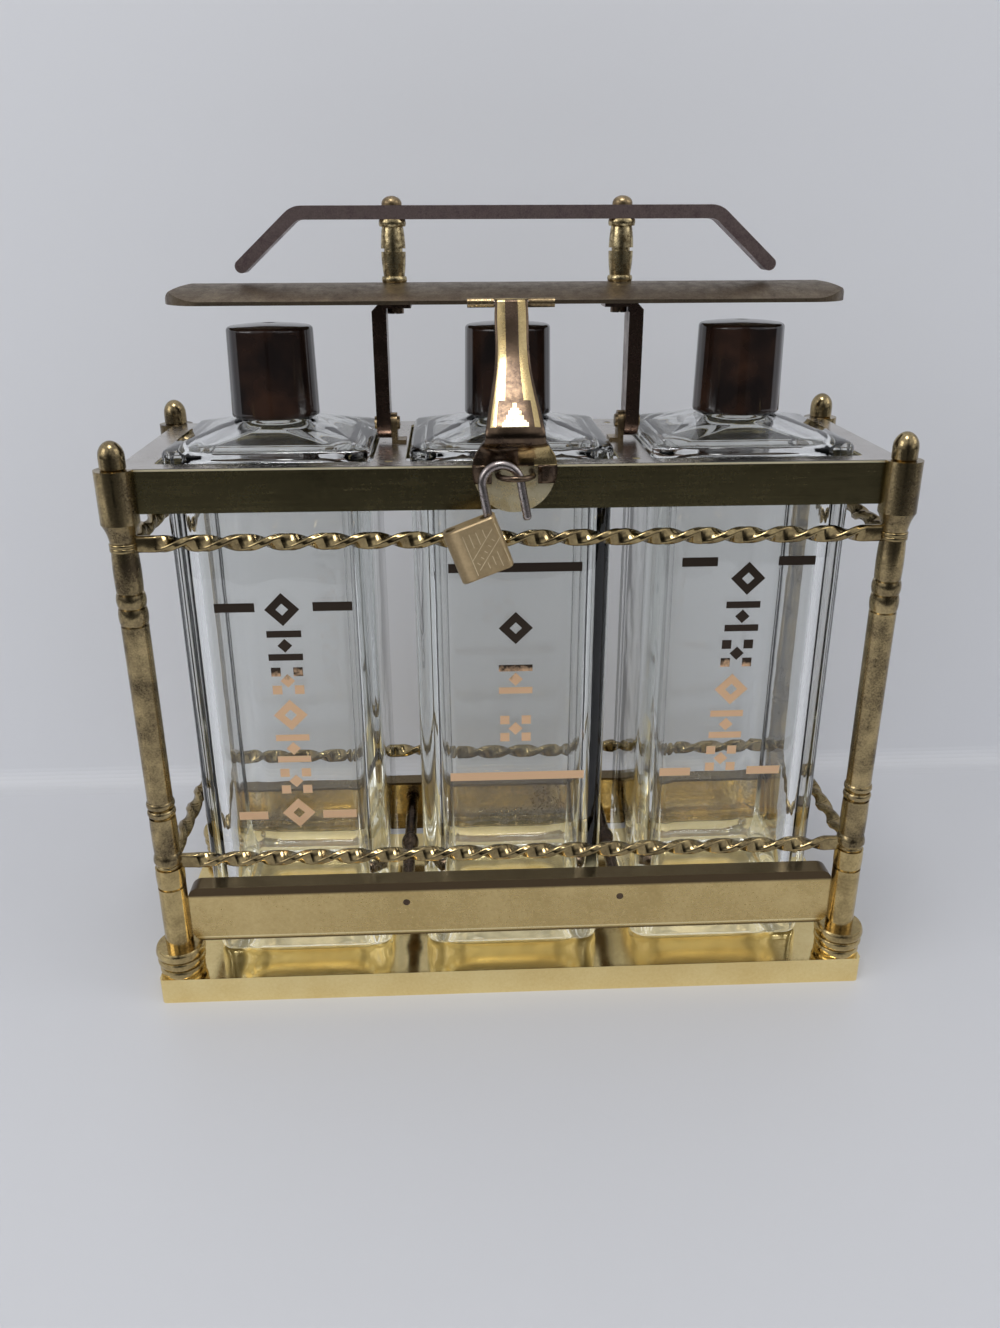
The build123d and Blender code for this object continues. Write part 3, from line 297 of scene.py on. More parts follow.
# Each metal: its fresh and its aged colour, how much of it is aged, and its roughness fresh and aged.
BRIGHT = metal("bright_brass", (0.98, 0.80, 0.40), (0.82, 0.60, 0.24), 0.30, 0.08, 0.24, cloud=25, bump=0.05)
PLATE = metal("plate_brass", (0.95, 0.84, 0.56), (0.50, 0.38, 0.16), 0.35, 0.20, 0.38, cloud=160,
              speckle=1400, contrast=4.0, bump=0.15, metallic=0.5)
HASP = metal("hasp_brass", (0.62, 0.48, 0.24), (0.40, 0.29, 0.13), 0.35, 0.16, 0.34, cloud=110, speckle=1200,
             contrast=4.0, bump=0.12)
# painted shade and reflection: the dark of the hasp's middle stripe, edges and knee; its clouds are tarnish
HASP_DARK = metal("hasp_painted_shade_and_tarnish", (0.16, 0.11, 0.07), (0.05, 0.035, 0.03), 0.45, 0.14, 0.34, cloud=150,
                  bump=0.15)
# painted highlight: the bright facet where the strap faces the ceiling
FACET = metal("hasp_facet", (0.98, 0.88, 0.60), (0.55, 0.44, 0.20), 0.35, 0.30, 0.45, cloud=260, contrast=5.0,
              bump=0.10)
AMBER = metal("hasp_amber", (0.50, 0.33, 0.14), (0.16, 0.10, 0.05), 0.45, 0.12, 0.30, cloud=140, contrast=4.0,
              bump=0.10)
AGED = metal("aged_brass", (0.44, 0.33, 0.18), (0.12, 0.085, 0.05), 0.50, 0.20, 0.45, cloud=90,
             speckle=1100, contrast=4.0, bump=0.30)
UPRIGHT = metal("upright_bronze", (0.24, 0.16, 0.12), (0.08, 0.05, 0.04), 0.50, 0.15, 0.36, cloud=110,
                speckle=1200, contrast=4.0, bump=0.25)
POST = metal("post_brass", (0.48, 0.37, 0.19), (0.10, 0.075, 0.045), 0.50, 0.10, 0.30, cloud=60,
             speckle=1300, contrast=4.5, bump=0.22)
LOWER = metal("lower_post_brass", (0.62, 0.48, 0.23), (0.22, 0.155, 0.07), 0.40, 0.10, 0.26, cloud=55,
              speckle=900, contrast=3.5, bump=0.12)
BAND = metal("band_brass", (0.74, 0.57, 0.27), (0.52, 0.38, 0.16), 0.45, 0.20, 0.34, cloud=30, bump=0.06,
             stretch=(0.05, 1, 1), streaks=0.10)
# painted reflection: the back band's large clouds of bright gold and dark brown stand in for what it reflects
# through the bottles; its fine speckle is tarnish
BACK_BAND = metal("back_band_brass_painted_reflection", (0.90, 0.68, 0.32), (0.20, 0.14, 0.07), 0.45, 0.14, 0.28, cloud=14,
                  contrast=5.0, bump=0.05)
COVER = metal("cover_bronze", (0.21, 0.165, 0.11), (0.10, 0.075, 0.055), 0.50, 0.32, 0.52, cloud=200,
              speckle=1500, contrast=3.5, bump=0.30, stretch=(0.06, 1, 1), streaks=0.20)
HANDLE = metal("handle_bronze", (0.34, 0.26, 0.24), (0.14, 0.10, 0.10), 0.50, 0.28, 0.50, cloud=220,
               speckle=1500, contrast=4.0, bump=0.35, metallic=0.8)
TWIST = metal("twist_brass", (0.44, 0.34, 0.17), (0.12, 0.085, 0.045), 0.45, 0.09, 0.24, cloud=120,
              speckle=900, contrast=3.5, bump=0.10)
PILLAR = metal("pillar_brass", (0.62, 0.50, 0.28), (0.13, 0.095, 0.045), 0.45, 0.14, 0.36, cloud=420,
               speckle=1400, contrast=5.0, bump=0.30)
LOCK = metal("lock_brass", (0.60, 0.45, 0.25), (0.42, 0.30, 0.16), 0.40, 0.32, 0.46, cloud=150,
             speckle=900, contrast=3.0, bump=0.15, stretch=(1, 1, 0.1), streaks=0.15, metallic=0.7)
HATCH = metal("lock_scratch", (0.95, 0.80, 0.52), (0.62, 0.48, 0.28), 0.40, 0.30, 0.45, bump=0.05,
              metallic=0.5)
STEEL = metal("worn_steel", (0.46, 0.42, 0.40), (0.20, 0.155, 0.15), 0.45, 0.20, 0.40, cloud=200,
              speckle=1200, bump=0.15)
# dark bronze: the own dark of nuts, bushes and staple, and painted shade on the bottle spacers
DARK = metal("dark_bronze_and_painted_shade", (0.20, 0.14, 0.09), (0.05, 0.035, 0.03), 0.50, 0.16, 0.36, cloud=120, bump=0.20)


TRAY_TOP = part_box("upper_tray")[1][2]
TOP_SKIN = 0.15 * MM


def tray_material():
    """The tray's finish: dark olive on its upright sides, a painted reflection of the dark room in front of
    them over clouds of tarnish, and worn silvery metal on its level top, told apart by height just under
    the top's own height."""
    material = metal("tray_metal", (0.30, 0.255, 0.13), (0.15, 0.125, 0.06), 0.50, 0.16, 0.34, cloud=30,
                     speckle=500, contrast=2.6, bump=0.06, stretch=(0.04, 1, 1), streaks=0.12)
    tree = material.node_tree
    shader = tree.nodes["Principled BSDF"]
    olive = shader.inputs["Base Color"].links[0].from_socket
    place = tree.nodes.new("ShaderNodeTexCoord").outputs["Object"]
    # the upright sides keep the dark olive, a painted reflection of the dark room in front; the top turns
    # silvery
    top = maths(tree, "GREATER_THAN", height_in(tree, place), TRAY_TOP - TOP_SKIN)
    worn = add_node(tree, "ShaderNodeTexNoise", Vector=place, Scale=90.0, Detail=4.0)
    silver = blend_colors(tree, worn.outputs[0], (0.50, 0.46, 0.42, 1), (0.74, 0.71, 0.68, 1))
    tree.links.new(blend_colors(tree, top, olive, silver), shader.inputs["Base Color"])
    return material


TRAY = tray_material()
# a bright line just under the tray's top
tint_between(TRAY, TRAY_TOP - 1.0 * MM, TRAY_TOP - TOP_SKIN, 0.1 * MM, (1.0, 0.90, 0.62), 0.5)
# on both bands a dark strip along the top, and painted shade on the lower edge, where the bend lies in
# shadow, under a thin bright line
band_low, band_high = (level[2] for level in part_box("front_band"))
for band in (BAND, BACK_BAND):
    tint_between(band, band_high - 5.0 * MM, band_high + 1 * MM, 1.2 * MM, (0.10, 0.07, 0.04), 0.30)
    # painted shade: the lower bend darkened as if in shadow
    tint_between(band, band_low - 1 * MM, band_low + 1.1 * MM, 0.5 * MM, (0.16, 0.11, 0.05))
    tint_between(band, band_low + 1.3 * MM, band_low + 2.2 * MM, 0.4 * MM, (1.0, 0.86, 0.50))


def glass_material():
    """Clear pressed glass: almost smooth, with a slow ripple in its faces, and a painted glow in its thick
    foot: a faint yellow emission that stands in for light from the brass under it and fades out 40 mm up."""
    material, tree, shader, place = new_material("clear_glass")
    ripple = add_node(tree, "ShaderNodeTexNoise", Vector=place, Scale=22.0, Detail=2.0)
    relief = add_node(tree, "ShaderNodeBump", Strength=0.10, Distance=0.004, Height=ripple.outputs[0])
    tree.links.new(relief.outputs[0], shader.inputs["Normal"])
    shader.inputs["Base Color"].default_value = (0.925, 0.935, 0.925, 1)
    shader.inputs["Roughness"].default_value = 0.0
    shader.inputs["IOR"].default_value = 1.5
    shader.inputs["Transmission Weight"].default_value = 1.0
    # painted glow: emission low in the foot, in place of light the foot would gather
    glow_top, glow_fade = 40 * MM, 26 * MM
    depth = share_of(tree, glow_top, height_in(tree, place), glow_fade)
    painted_glow_noise = add_node(tree, "ShaderNodeTexNoise", Vector=place, Scale=130.0, Detail=3.0)
    glow = maths(tree, "MULTIPLY", depth, maths(tree, "MULTIPLY", painted_glow_noise.outputs[0], 0.22))
    shader.inputs["Emission Color"].default_value = (0.95, 0.84, 0.52, 1)
    tree.links.new(glow, shader.inputs["Emission Strength"])
    return material


def cap_material():
    """Moulded dark brown cap: glossy, with brown clouds that show where light falls on it."""
    material, tree, shader, place = new_material("cap_brown")
    cloud = add_node(tree, "ShaderNodeTexNoise", Vector=place, Scale=55.0, Detail=3.0)
    mask = maths(tree, "MULTIPLY_ADD", maths(tree, "SUBTRACT", cloud.outputs[0], 0.5), 4.0, 0.4, True)
    color = blend_colors(tree, mask, (0.012, 0.008, 0.007, 1), (0.045, 0.022, 0.014, 1))
    tree.links.new(color, shader.inputs["Base Color"])
    shader.inputs["Roughness"].default_value = 0.10
    shader.inputs["Coat Weight"].default_value = 0.2
    shader.inputs["Coat Roughness"].default_value = 0.05
    return material


def wood_material():
    """Plain stained board: rings stretched along the length."""
    material, tree, shader, place = new_material("board_wood")
    stretched = add_node(tree, "ShaderNodeVectorMath", operation="MULTIPLY", _0=place, _1=(0.08, 1, 1))
    rings = add_node(tree, "ShaderNodeTexNoise", Vector=stretched.outputs[0], Scale=140.0, Detail=6.0)
    color = blend_colors(tree, rings.outputs[0], (0.12, 0.065, 0.03, 1), (0.30, 0.18, 0.09, 1))
    relief = add_node(tree, "ShaderNodeBump", Strength=0.2, Distance=0.0004, Height=rings.outputs[0])
    tree.links.new(color, shader.inputs["Base Color"])
    tree.links.new(relief.outputs[0], shader.inputs["Normal"])
    shader.inputs["Roughness"].default_value = 0.6
    return material


def liner_material():
    """Off-white sealing disc with a faint speckle."""
    material, tree, shader, place = new_material("liner_white")
    speckle = add_node(tree, "ShaderNodeTexNoise", Vector=place, Scale=900.0, Detail=2.0)
    color = blend_colors(tree, speckle.outputs[0], (0.62, 0.58, 0.50, 1), (0.80, 0.77, 0.70, 1))
    tree.links.new(color, shader.inputs["Base Color"])
    shader.inputs["Roughness"].default_value = 0.7
    return material


def gilt_material():
    """Fired gilding: bright peach gold low on the bottle and nearly black high up; the change is ragged."""
    material, tree, shader, place = new_material("fired_gilt")
    turn, ragged, soft = 143 * MM, 12 * MM, 4 * MM
    rag = add_node(tree, "ShaderNodeTexNoise", Vector=place, Scale=400.0, Detail=4.0)
    shift = maths(tree, "SUBTRACT", rag.outputs[0], 0.5)
    height = maths(tree, "MULTIPLY_ADD", shift, ragged, height_in(tree, place))
    mask = share_of(tree, height, turn, soft)
    color = blend_colors(tree, mask, (0.86, 0.56, 0.33, 1), (0.045, 0.03, 0.02, 1))
    wear = maths(tree, "MULTIPLY_ADD", rag.outputs[0], 0.25, 0.22)
    tree.links.new(color, shader.inputs["Base Color"])
    tree.links.new(wear, shader.inputs["Roughness"])
    shader.inputs["Metallic"].default_value = 0.6
    return material


GLASS = glass_material()
CAP = cap_material()
WOOD = wood_material()
LINER = liner_material()
GILT = gilt_material()


# ---------------------------------------------------------------- the frame's own nodes
def dress(material, *names):
    """Give CAD nodes a material in place of their plain one."""
    for name in names:
        mesh = NODES[name].data
        mesh.materials.clear()
        mesh.materials.append(material)


dress(BRIGHT, "base_pan", "key_plug")
dress(PLATE, "staple_plate")
dress(WOOD, "base_board")
dress(STEEL, "tie_rods", "latch", "shackle", "hasp_pin")
# the bottle spacers take this dark as painted shade, for the shadow they sit in between the bottles
dress(DARK, "base_nuts", "arch_bushes", "under_nuts", "bottle_spacers", "staple")
dress(LOWER, "foot_collars", "lower_tubes")
dress(POST, "finials", *[f"spindle_{c}" for c in CORNERS], *[f"post_head_{c}" for c in CORNERS])
dress(TRAY, "upper_tray")
dress(BAND, "front_band")
dress(BACK_BAND, "back_band")
dress(COVER, "cover_strip")
dress(HANDLE, "handle_bar")
dress(AGED, "hinge_ear_left", "hinge_ear_right", "pivot_rivets", "handle_screws", "hasp_hinge_leaf")
dress(UPRIGHT, "cover_upright_left", "cover_upright_right")
dress(PILLAR, "handle_pillar_left", "handle_pillar_right")
dress(LOCK, "lock_body")
dress(LINER, *[f"cap_liner_{s}" for s in SIDES])


# ---------------------------------------------------------------- twisted rails
def twisted_rail(name, body):
    """A rail in place of its CAD node: a flat bar with soft corners, turned about its middle line by
    half a turn every pitch, left-handed, and flattened at both ends into eyes."""
    low, high = map(np.array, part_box(name))
    middle = (low + high) / 2
    size = high - low
    along_x = size[0] > size[1]
    eye, hole, pitch, plain_ends = 5.2 * MM, 2.15 * MM, 15.6 * MM, 23 * MM
    width, thick, soft = 6.3 * MM / 2, 3.4 * MM / 2, 1.1 * MM
    span = max(size[0], size[1]) - 2 * eye
    half_turns = round((span - plain_ends) / pitch)
    twisted = half_turns * pitch
    rows = half_turns * 14 + 1
    t = np.linspace(-0.5, 0.5, rows)
    quarter = np.linspace(0, np.pi / 2, 5)
    angle = (quarter[None, :] + np.arange(4)[:, None] * np.pi / 2).ravel()
    across = np.repeat([1, -1, -1, 1], 5) * (width - soft) + soft * np.cos(angle)
    up = np.repeat([1, 1, -1, -1], 5) * (thick - soft) + soft * np.sin(angle)
    turn = -np.pi * half_turns * t
    taper = np.array([0.35, 0.7, 1.0])
    ends = (span / 2 - twisted / 2 - 0.5 * MM) * taper
    s = np.concatenate([(-twisted / 2 - ends)[::-1], twisted * t, twisted / 2 + ends])
    turn = np.concatenate([np.full(3, turn[0]), turn, np.full(3, turn[-1])])
    thinner = 1 - 0.53 * taper
    flat = np.concatenate([thinner[::-1], np.ones(rows), thinner])
    side = across * np.cos(turn)[:, None] - up * flat[:, None] * np.sin(turn)[:, None]
    rise = across * np.sin(turn)[:, None] + up * flat[:, None] * np.cos(turn)[:, None]
    along = np.repeat(s[:, None], side.shape[1], 1)
    if along_x:
        points = np.stack([along, side, rise], -1)
    else:
        points = np.stack([-side, along, rise], -1)
    ring_points = points.reshape(-1, 3)
    faces = capped(len(s), side.shape[1], flip=True)
    count, half_thick, bevel = 40, 0.8 * MM, 0.2 * MM
    ring = np.linspace(0, 2 * np.pi, count, endpoint=False)
    rings = [(hole, -half_thick), (eye - bevel, -half_thick), (eye, bevel - half_thick),
             (eye, half_thick - bevel), (eye - bevel, half_thick), (hole, half_thick)]
    eye_points = []
    for end in (-span / 2, span / 2):
        base = len(ring_points) + len(eye_points)
        for radius, level in rings:
            x = radius * np.cos(ring)
            y = radius * np.sin(ring)
            centre = (end + x, y) if along_x else (x, end + y)
            eye_points += np.stack([centre[0], centre[1], np.full(count, level)], -1).tolist()
        faces += (np.array(ring_faces(len(rings), count)) + base).tolist()
    points = np.concatenate([ring_points, np.array(eye_points)]) + middle
    return new_piece(name + "_twist", points, faces, TWIST, body, [name])


for level in ("lower", "upper"):
    for side in ("front", "back", "left", "right"):
        twisted_rail(f"{level}_{side}_bar", "stand")


# ---------------------------------------------------------------- bottles
def bottle(side):
    """A square bottle as one closed surface: rings of a rounded square climb outside over the base,
    the body, the shoulder and the round neck, and go down inside to a domed floor."""
    name = f"decanter_{side}"
    low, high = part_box(name)
    centre_x = (low[0] + high[0]) / 2
    floor = low[2]
    half = (high[0] - low[0]) / 2
    top = high[2]
    shoulder = floor + 221.5 * MM
    crest = shoulder + 7 * MM
    neck = 12.5 * MM
    bore = 9.0 * MM
    corner, inner_corner, wall = 7 * MM, 11.5 * MM, 4.6 * MM
    # each ring: half width, height, corner radius
    rows = [(0.05, 1.5, 0.04), (20, 1.3, 10), (33.5, 0.4, 5.5), (35.6, 0.05, 5.8), (37.0, 0.35, 6.2),
            (38.0, 1.3, 6.6), (38.45, 3.0, 7.0), (38.5, 6.0, 7.0)]
    outer = [(w * MM, floor + z * MM, r * MM) for w, z, r in rows]
    outer += [(half, z, corner) for z in np.linspace(floor + 12 * MM, shoulder - 5 * MM, 14)]
    outer += [(half - inset * MM, shoulder + rise * MM, corner)
              for inset, rise in ((0, -2.2), (0.15, -1.0), (0.7, -0.1), (1.7, 0.5))]
    outer += [((36.8 - 19.5 * k) * MM, shoulder + (0.5 + 6.1 * k ** 1.15) * MM, (7 + 9.3 * k) * MM)
              for k in np.linspace(0, 1, 9)[1:]]
    outer += [(15.6 * MM, crest - 0.1 * MM, 15.5 * MM), (14.0 * MM, crest + 0.1 * MM, 13.99 * MM),
              (neck + 0.3 * MM, crest + 0.5 * MM, neck + 0.29 * MM),
              (neck, crest + 1.5 * MM, neck - 0.01 * MM)]
    outer += [(neck, top - 1.0 * MM, neck - 0.01 * MM), (neck - 0.8 * MM, top, neck - 0.81 * MM),
              (bore + 0.4 * MM, top, bore + 0.39 * MM), (bore, top - 0.6 * MM, bore - 0.01 * MM)]
    inner_half = half - wall
    inner = [(bore, crest - 2.0 * MM, bore - 0.01 * MM), (bore + 1.2 * MM, crest - 4.2 * MM, bore + 1.1 * MM)]
    inner += [((10.5 + 20.5 * k) * MM, crest - (4.6 + 6.0 * k) * MM, (10.3 + 1.2 * k) * MM)
              for k in np.linspace(0.1, 1, 6)]
    inner += [(inner_half - 1.0 * MM, shoulder - 6.0 * MM, inner_corner),
              (inner_half, shoulder - 11 * MM, inner_corner)]
    inner += [(inner_half, z, inner_corner) for z in np.linspace(shoulder - 20 * MM, floor + 32 * MM, 12)]
    inner += [(inner_half - inset * MM, floor + rise * MM, inner_corner)
              for inset, rise in ((0.4, 25), (1.8, 19.5), (5.0, 15.5))]
    inner += [(inner_half - 10 * MM, floor + 13.4 * MM, 11 * MM), (14 * MM, floor + 13.0 * MM, 9 * MM),
              (0.05 * MM, floor + 13.6 * MM, 0.04 * MM)]
    rings = np.array(outer + inner)
    x, y = rounded_square(rings[:, 0], np.minimum(rings[:, 2], rings[:, 0] * 0.999))
    z = np.repeat(rings[:, 1][:, None], x.shape[1], 1)
    points = np.stack([x + centre_x, y, z], -1).reshape(-1, 3)
    faces = capped(len(rings), x.shape[1])
    return new_piece(f"bottle_{side}", points, faces, GLASS, name, [name])


# ---------------------------------------------------------------- caps
def cap(side):
    """A moulded screw cap as one closed surface of revolution: its wall leans in to the top, shallow
    flats run up it, and its inside is bored for the neck."""
    name = f"cap_{side}"
    low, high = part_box(name)
    centre_x = (low[0] + high[0]) / 2
    foot, top = low[2], high[2]
    bore = 12.95 * MM
    roof = top - 4.0 * MM
    outline = [(bore, foot), (16.9 * MM, foot), (17.15 * MM, foot + 0.5 * MM)]
    outline += [((17.15 - 0.55 * k) * MM, foot + 0.5 * MM + k * (top - foot - 3.2 * MM))
                for k in np.linspace(0.05, 1, 9)]
    outline += arc_pairs((15.1 * MM, top - 2.5 * MM), 1.5 * MM, 0, 80, 7).tolist()
    outline += [(r * MM, top - drop * MM) for r, drop in ((12, 0.62), (8, 0.25), (4, 0.06), (0.02, 0))]
    outline += [(0.02 * MM, roof), (bore, roof)]
    outline = np.array(outline)
    count, flat_count, flat_depth = 160, 20, 0.006
    turn = np.linspace(0, 2 * np.pi, count, endpoint=False)
    on_wall = (outline[:, 0] > 15 * MM)[:, None]
    flats = flat_depth * on_wall * (1 - np.abs(np.cos(turn * flat_count / 2)))[None, :]
    radius = outline[:, 0][:, None] * (1 - flats)
    points = np.stack([radius * np.cos(turn) + centre_x, radius * np.sin(turn),
                       np.repeat(outline[:, 1][:, None], count, 1)], -1).reshape(-1, 3)
    faces = ring_faces(len(outline), count)
    return new_piece(f"screw_cap_{side}", points, faces, CAP, name, [name])


# ---------------------------------------------------------------- hasp
def swept_sheet(stations, widths, crowns, thick, columns=25):
    """A bent strip as one closed surface: at each station (y, z) of its middle line it is as wide as
    widths says, its face bulges towards the front by crown times a bell that is flat in the middle,
    and its back follows at the sheet's thickness."""
    line = np.array(stations)
    ahead = np.gradient(line, axis=0)
    ahead /= np.linalg.norm(ahead, axis=1)[:, None]
    normal = np.stack([ahead[:, 1], -ahead[:, 0]], -1)
    u = np.sin(np.linspace(-np.pi / 2, np.pi / 2, columns))
    bell = np.sqrt(np.clip(1 - np.abs(u) ** 3.0, 0, 1))
    x = np.asarray(widths)[:, None] * u
    depth = np.asarray(crowns)[:, None] * bell
    front = [x, line[:, :1] + normal[:, :1] * depth, line[:, 1:] + normal[:, 1:] * depth]
    rear = [x, line[:, :1] + normal[:, :1] * (depth - thick), line[:, 1:] + normal[:, 1:] * (depth - thick)]
    rings = np.concatenate([np.stack(front, -1), np.stack(rear, -1)[:, ::-1]], 1)
    return rings.reshape(-1, 3), capped(len(line), 2 * columns)


def smooth_line(points, count):
    """A Catmull-Rom curve through the points, with count steps between each two of them."""
    first, last = np.array(points[0]), np.array(points[-1])
    p = np.array([2 * first - points[1], *points, 2 * last - points[-2]])
    t = np.linspace(0, 1, count, endpoint=False)[:, None]
    runs = []
    for i in range(1, len(p) - 2):
        before, here, ahead, after = p[i - 1:i + 3]
        runs.append(0.5 * (2 * here + (ahead - before) * t
                           + (2 * before - 5 * here + 4 * ahead - after) * t ** 2
                           + (3 * here - before - 3 * ahead + after) * t ** 3))
    return np.concatenate(runs + [p[-2:-1]])


def hasp():
    """The hasp in place of its plain node: a crowned strap that bows from its knuckle to a wide neck,
    and a dished disc whose lower edge is open between two prongs. Its colour changes face by face, with
    light and shade painted on: a dark stripe down the middle and dark edges beside two gold stripes are
    painted reflection, a bright three-cornered facet under it is a painted highlight, a dark knee is
    painted shadow, and the disc is dark with an amber and a gold patch."""
    # each station: y, z, half width, crown
    strap = smooth_line([(-25.6, 285.4, 5.9, 0.5), (-28.4, 279.0, 6.2, 0.9), (-32.2, 271.0, 6.1, 1.0),
                         (-37.2, 263.0, 6.6, 1.0), (-43.0, 255.5, 8.0, 1.1), (-49.0, 248.6, 9.6, 1.5),
                         (-53.6, 243.2, 10.6, 1.6), (-53.9, 239.4, 11.0, 1.4), (-51.6, 237.0, 12.4, 1.0),
                         (-50.8, 233.6, 14.6, 1.0), (-50.7, 230.2, 15.4, 1.0)], 8) * MM
    columns = 41
    points, faces = swept_sheet(strap[:, :2], strap[:, 2], strap[:, 3], 1.1 * MM, columns)
    gold, dark, facet, amber = range(4)
    facet_top, knee_top, disc_top, amber_foot = 251.5, 243.5, 237.6, 231.5
    finishes = []
    u_edge = np.sin(np.linspace(-np.pi / 2, np.pi / 2, columns))
    u = (u_edge[1:] + u_edge[:-1]) / 2
    z = (strap[1:, 1] + strap[:-1, 1]) / 2 / MM
    beside = np.abs(u)
    # painted light per face: dark for the painted reflection down the middle and edges and for the painted
    # shadow of the knee, facet for a painted highlight
    for height in z:
        row = np.full(2 * columns, gold)
        front = row[:columns - 1]
        share = (height - knee_top) / (facet_top - knee_top)
        if height > knee_top:
            front[(beside < 0.40) | (beside > 0.86)] = dark
            if share < 1:
                front[beside < 0.62] = dark
                front[beside < 0.50 * (1 - share)] = facet
        elif height > disc_top:
            row[:] = dark
        else:
            x = u * np.interp(height, strap[::-1, 1] / MM, strap[::-1, 2] / MM)
            front[:] = np.where(x > 7.2, gold, np.where((x > 1.0) & (height > amber_foot), amber, dark))
            row[columns - 1:] = dark
        finishes += row.tolist()
    finishes += [dark, dark]
    # two prongs: the disc's edge on either side of its open notch
    notch, radius, disc_z, disc_y = 8.4, 15.5, 228.6, -50.7
    heights = np.linspace(230.4, 223.6, 9)
    for way in (-1, 1):
        rings = []
        for height in heights:
            far = np.sqrt(radius ** 2 - (height - disc_z) ** 2)
            bulge = 1.0 - 0.9 * (disc_z - height) / radius
            rings += [(way * notch, disc_y - bulge, height),
                      (way * (notch + far) / 2, disc_y - bulge * 0.8, height),
                      (way * far, -50.75, height), (way * far, -49.9, height), (way * notch, -50.4, height)]
        prong = capped(len(heights), 5, way > 0)
        faces += [[len(points) + k for k in face] for face in prong]
        finishes += [dark] * len(prong)
        points = np.concatenate([points, np.array(rings) * MM])
    turn = np.linspace(0, 2 * np.pi, 24, endpoint=False)
    knuckle = np.array([(x, -24.2 + r * np.cos(a), 284.3 + r * np.sin(a))
                        for x, r in ((-6.0, 0.85), (-6.0, 1.6), (6.0, 1.6), (6.0, 0.85)) for a in turn]) * MM
    knuckle_faces = (np.array(ring_faces(4, len(turn))) + len(points)).tolist()
    faces += knuckle_faces
    finishes += [gold] * len(knuckle_faces)
    points = np.concatenate([points, knuckle])
    return new_piece("hasp_strap", points, faces, [HASP, HASP_DARK, FACET, AMBER], "hasp",
                     ["hasp"], finishes=finishes)


def lock_point(across, down, ahead=0.0):
    """A point by the padlock's front face, in millimetres, from the face's own two directions, which
    lean by LOCK_LEAN: start + across * (cos, 0, sin) + down * (sin, 0, -cos), and ahead towards -Y."""
    start = np.array([-17.27, -63.3, 211.24])
    cos, sin = np.cos(LOCK_LEAN), np.sin(LOCK_LEAN)
    return start + across * np.array([cos, 0, sin]) + np.array([down * sin, -ahead, -down * cos])


def lock_hatching():
    """Plain engraved lines on the padlock's front: each runs between two places (across, down)."""
    lines = [(-3.4, 2.8, -3.4, 18.5), (-1.0, 2.9, -1.0, 8.3), (1.5, 3.1, 1.6, 7.9), (4.1, 3.0, 4.2, 6.2),
             (9.0, 2.3, 9.2, 7.5), (-2.1, 16.8, 9.4, 7.6), (-3.2, 12.5, 7.5, 4.0), (6.2, 12.4, 6.4, 18.3),
             (9.0, 12.0, 9.2, 17.5), (4.0, 13.4, 4.1, 17.0), (1.6, 15.0, 1.7, 17.5)]
    lines += [(-2.0 + 2.0 * k, 13.9 - 1.62 * k, -1.2 + 2.0 * k, 15.0 - 1.62 * k) for k in range(5)]
    points = []
    faces = []
    half_width, proud, sunk = 0.16, 0.03, -0.1
    for line in np.array(lines):
        start, end = line[:2], line[2:]
        run = end - start
        side = np.array([-run[1], run[0]]) / np.linalg.norm(run) * half_width
        base = len(points)
        for ahead in (proud, sunk):
            for place in (start + side, end + side, end - side, start - side):
                points.append(lock_point(*place, ahead) * MM)
        faces += plate_faces(base)
    return new_piece("lock_hatching", points, faces, HATCH, "lock_body", smooth=False)


def round_lock_edge():
    """Shade the padlock's left side as a broad round: across the last 6.4 mm the normal leans further
    and further to the left, up to 70 degrees. It is cos(angle) * normal + sin(angle) * left."""
    tree = LOCK.node_tree
    left = (-float(np.cos(LOCK_LEAN)), 0.0, -float(np.sin(LOCK_LEAN)))
    place = tree.nodes.new("ShaderNodeTexCoord").outputs["Object"]
    distance = add_node(tree, "ShaderNodeVectorMath", operation="DOT_PRODUCT", _0=place, _1=left)
    start = float(np.dot(left, lock_point(-3.6, 0) * MM))
    share = share_of(tree, distance.outputs["Value"], start, 6.4 * MM)
    angle = maths(tree, "MULTIPLY", share, float(np.radians(70)))
    aside = tree.nodes.new("ShaderNodeVectorTransform")
    aside.vector_type, aside.convert_from, aside.convert_to = "NORMAL", "OBJECT", "WORLD"
    aside.inputs[0].default_value = left
    facing = tree.nodes.new("ShaderNodeNewGeometry").outputs["Normal"]
    kept = add_node(tree, "ShaderNodeVectorMath", operation="SCALE", _0=facing,
                    Scale=maths(tree, "COSINE", angle))
    leant = add_node(tree, "ShaderNodeVectorMath", operation="SCALE", _0=aside.outputs[0],
                     Scale=maths(tree, "SINE", angle))
    both = add_node(tree, "ShaderNodeVectorMath", operation="ADD", _0=kept.outputs[0], _1=leant.outputs[0])
    relief = [node for node in tree.nodes if node.type == "BUMP"][0]
    tree.links.new(both.outputs[0], relief.inputs["Normal"])


lock_hatching()
round_lock_edge()
hasp()


# ---------------------------------------------------------------- gilt ornament
def lozenge(x, z, half):
    """The four corners of a square that stands on its point."""
    return [(x - half, z), (x, z - half), (x + half, z), (x, z + half)]


def block(x_from, x_to, z_from, z_to):
    """The four corners of a level rectangle."""
    return [(x_from, z_from), (x_to, z_from), (x_to, z_to), (x_from, z_to)]


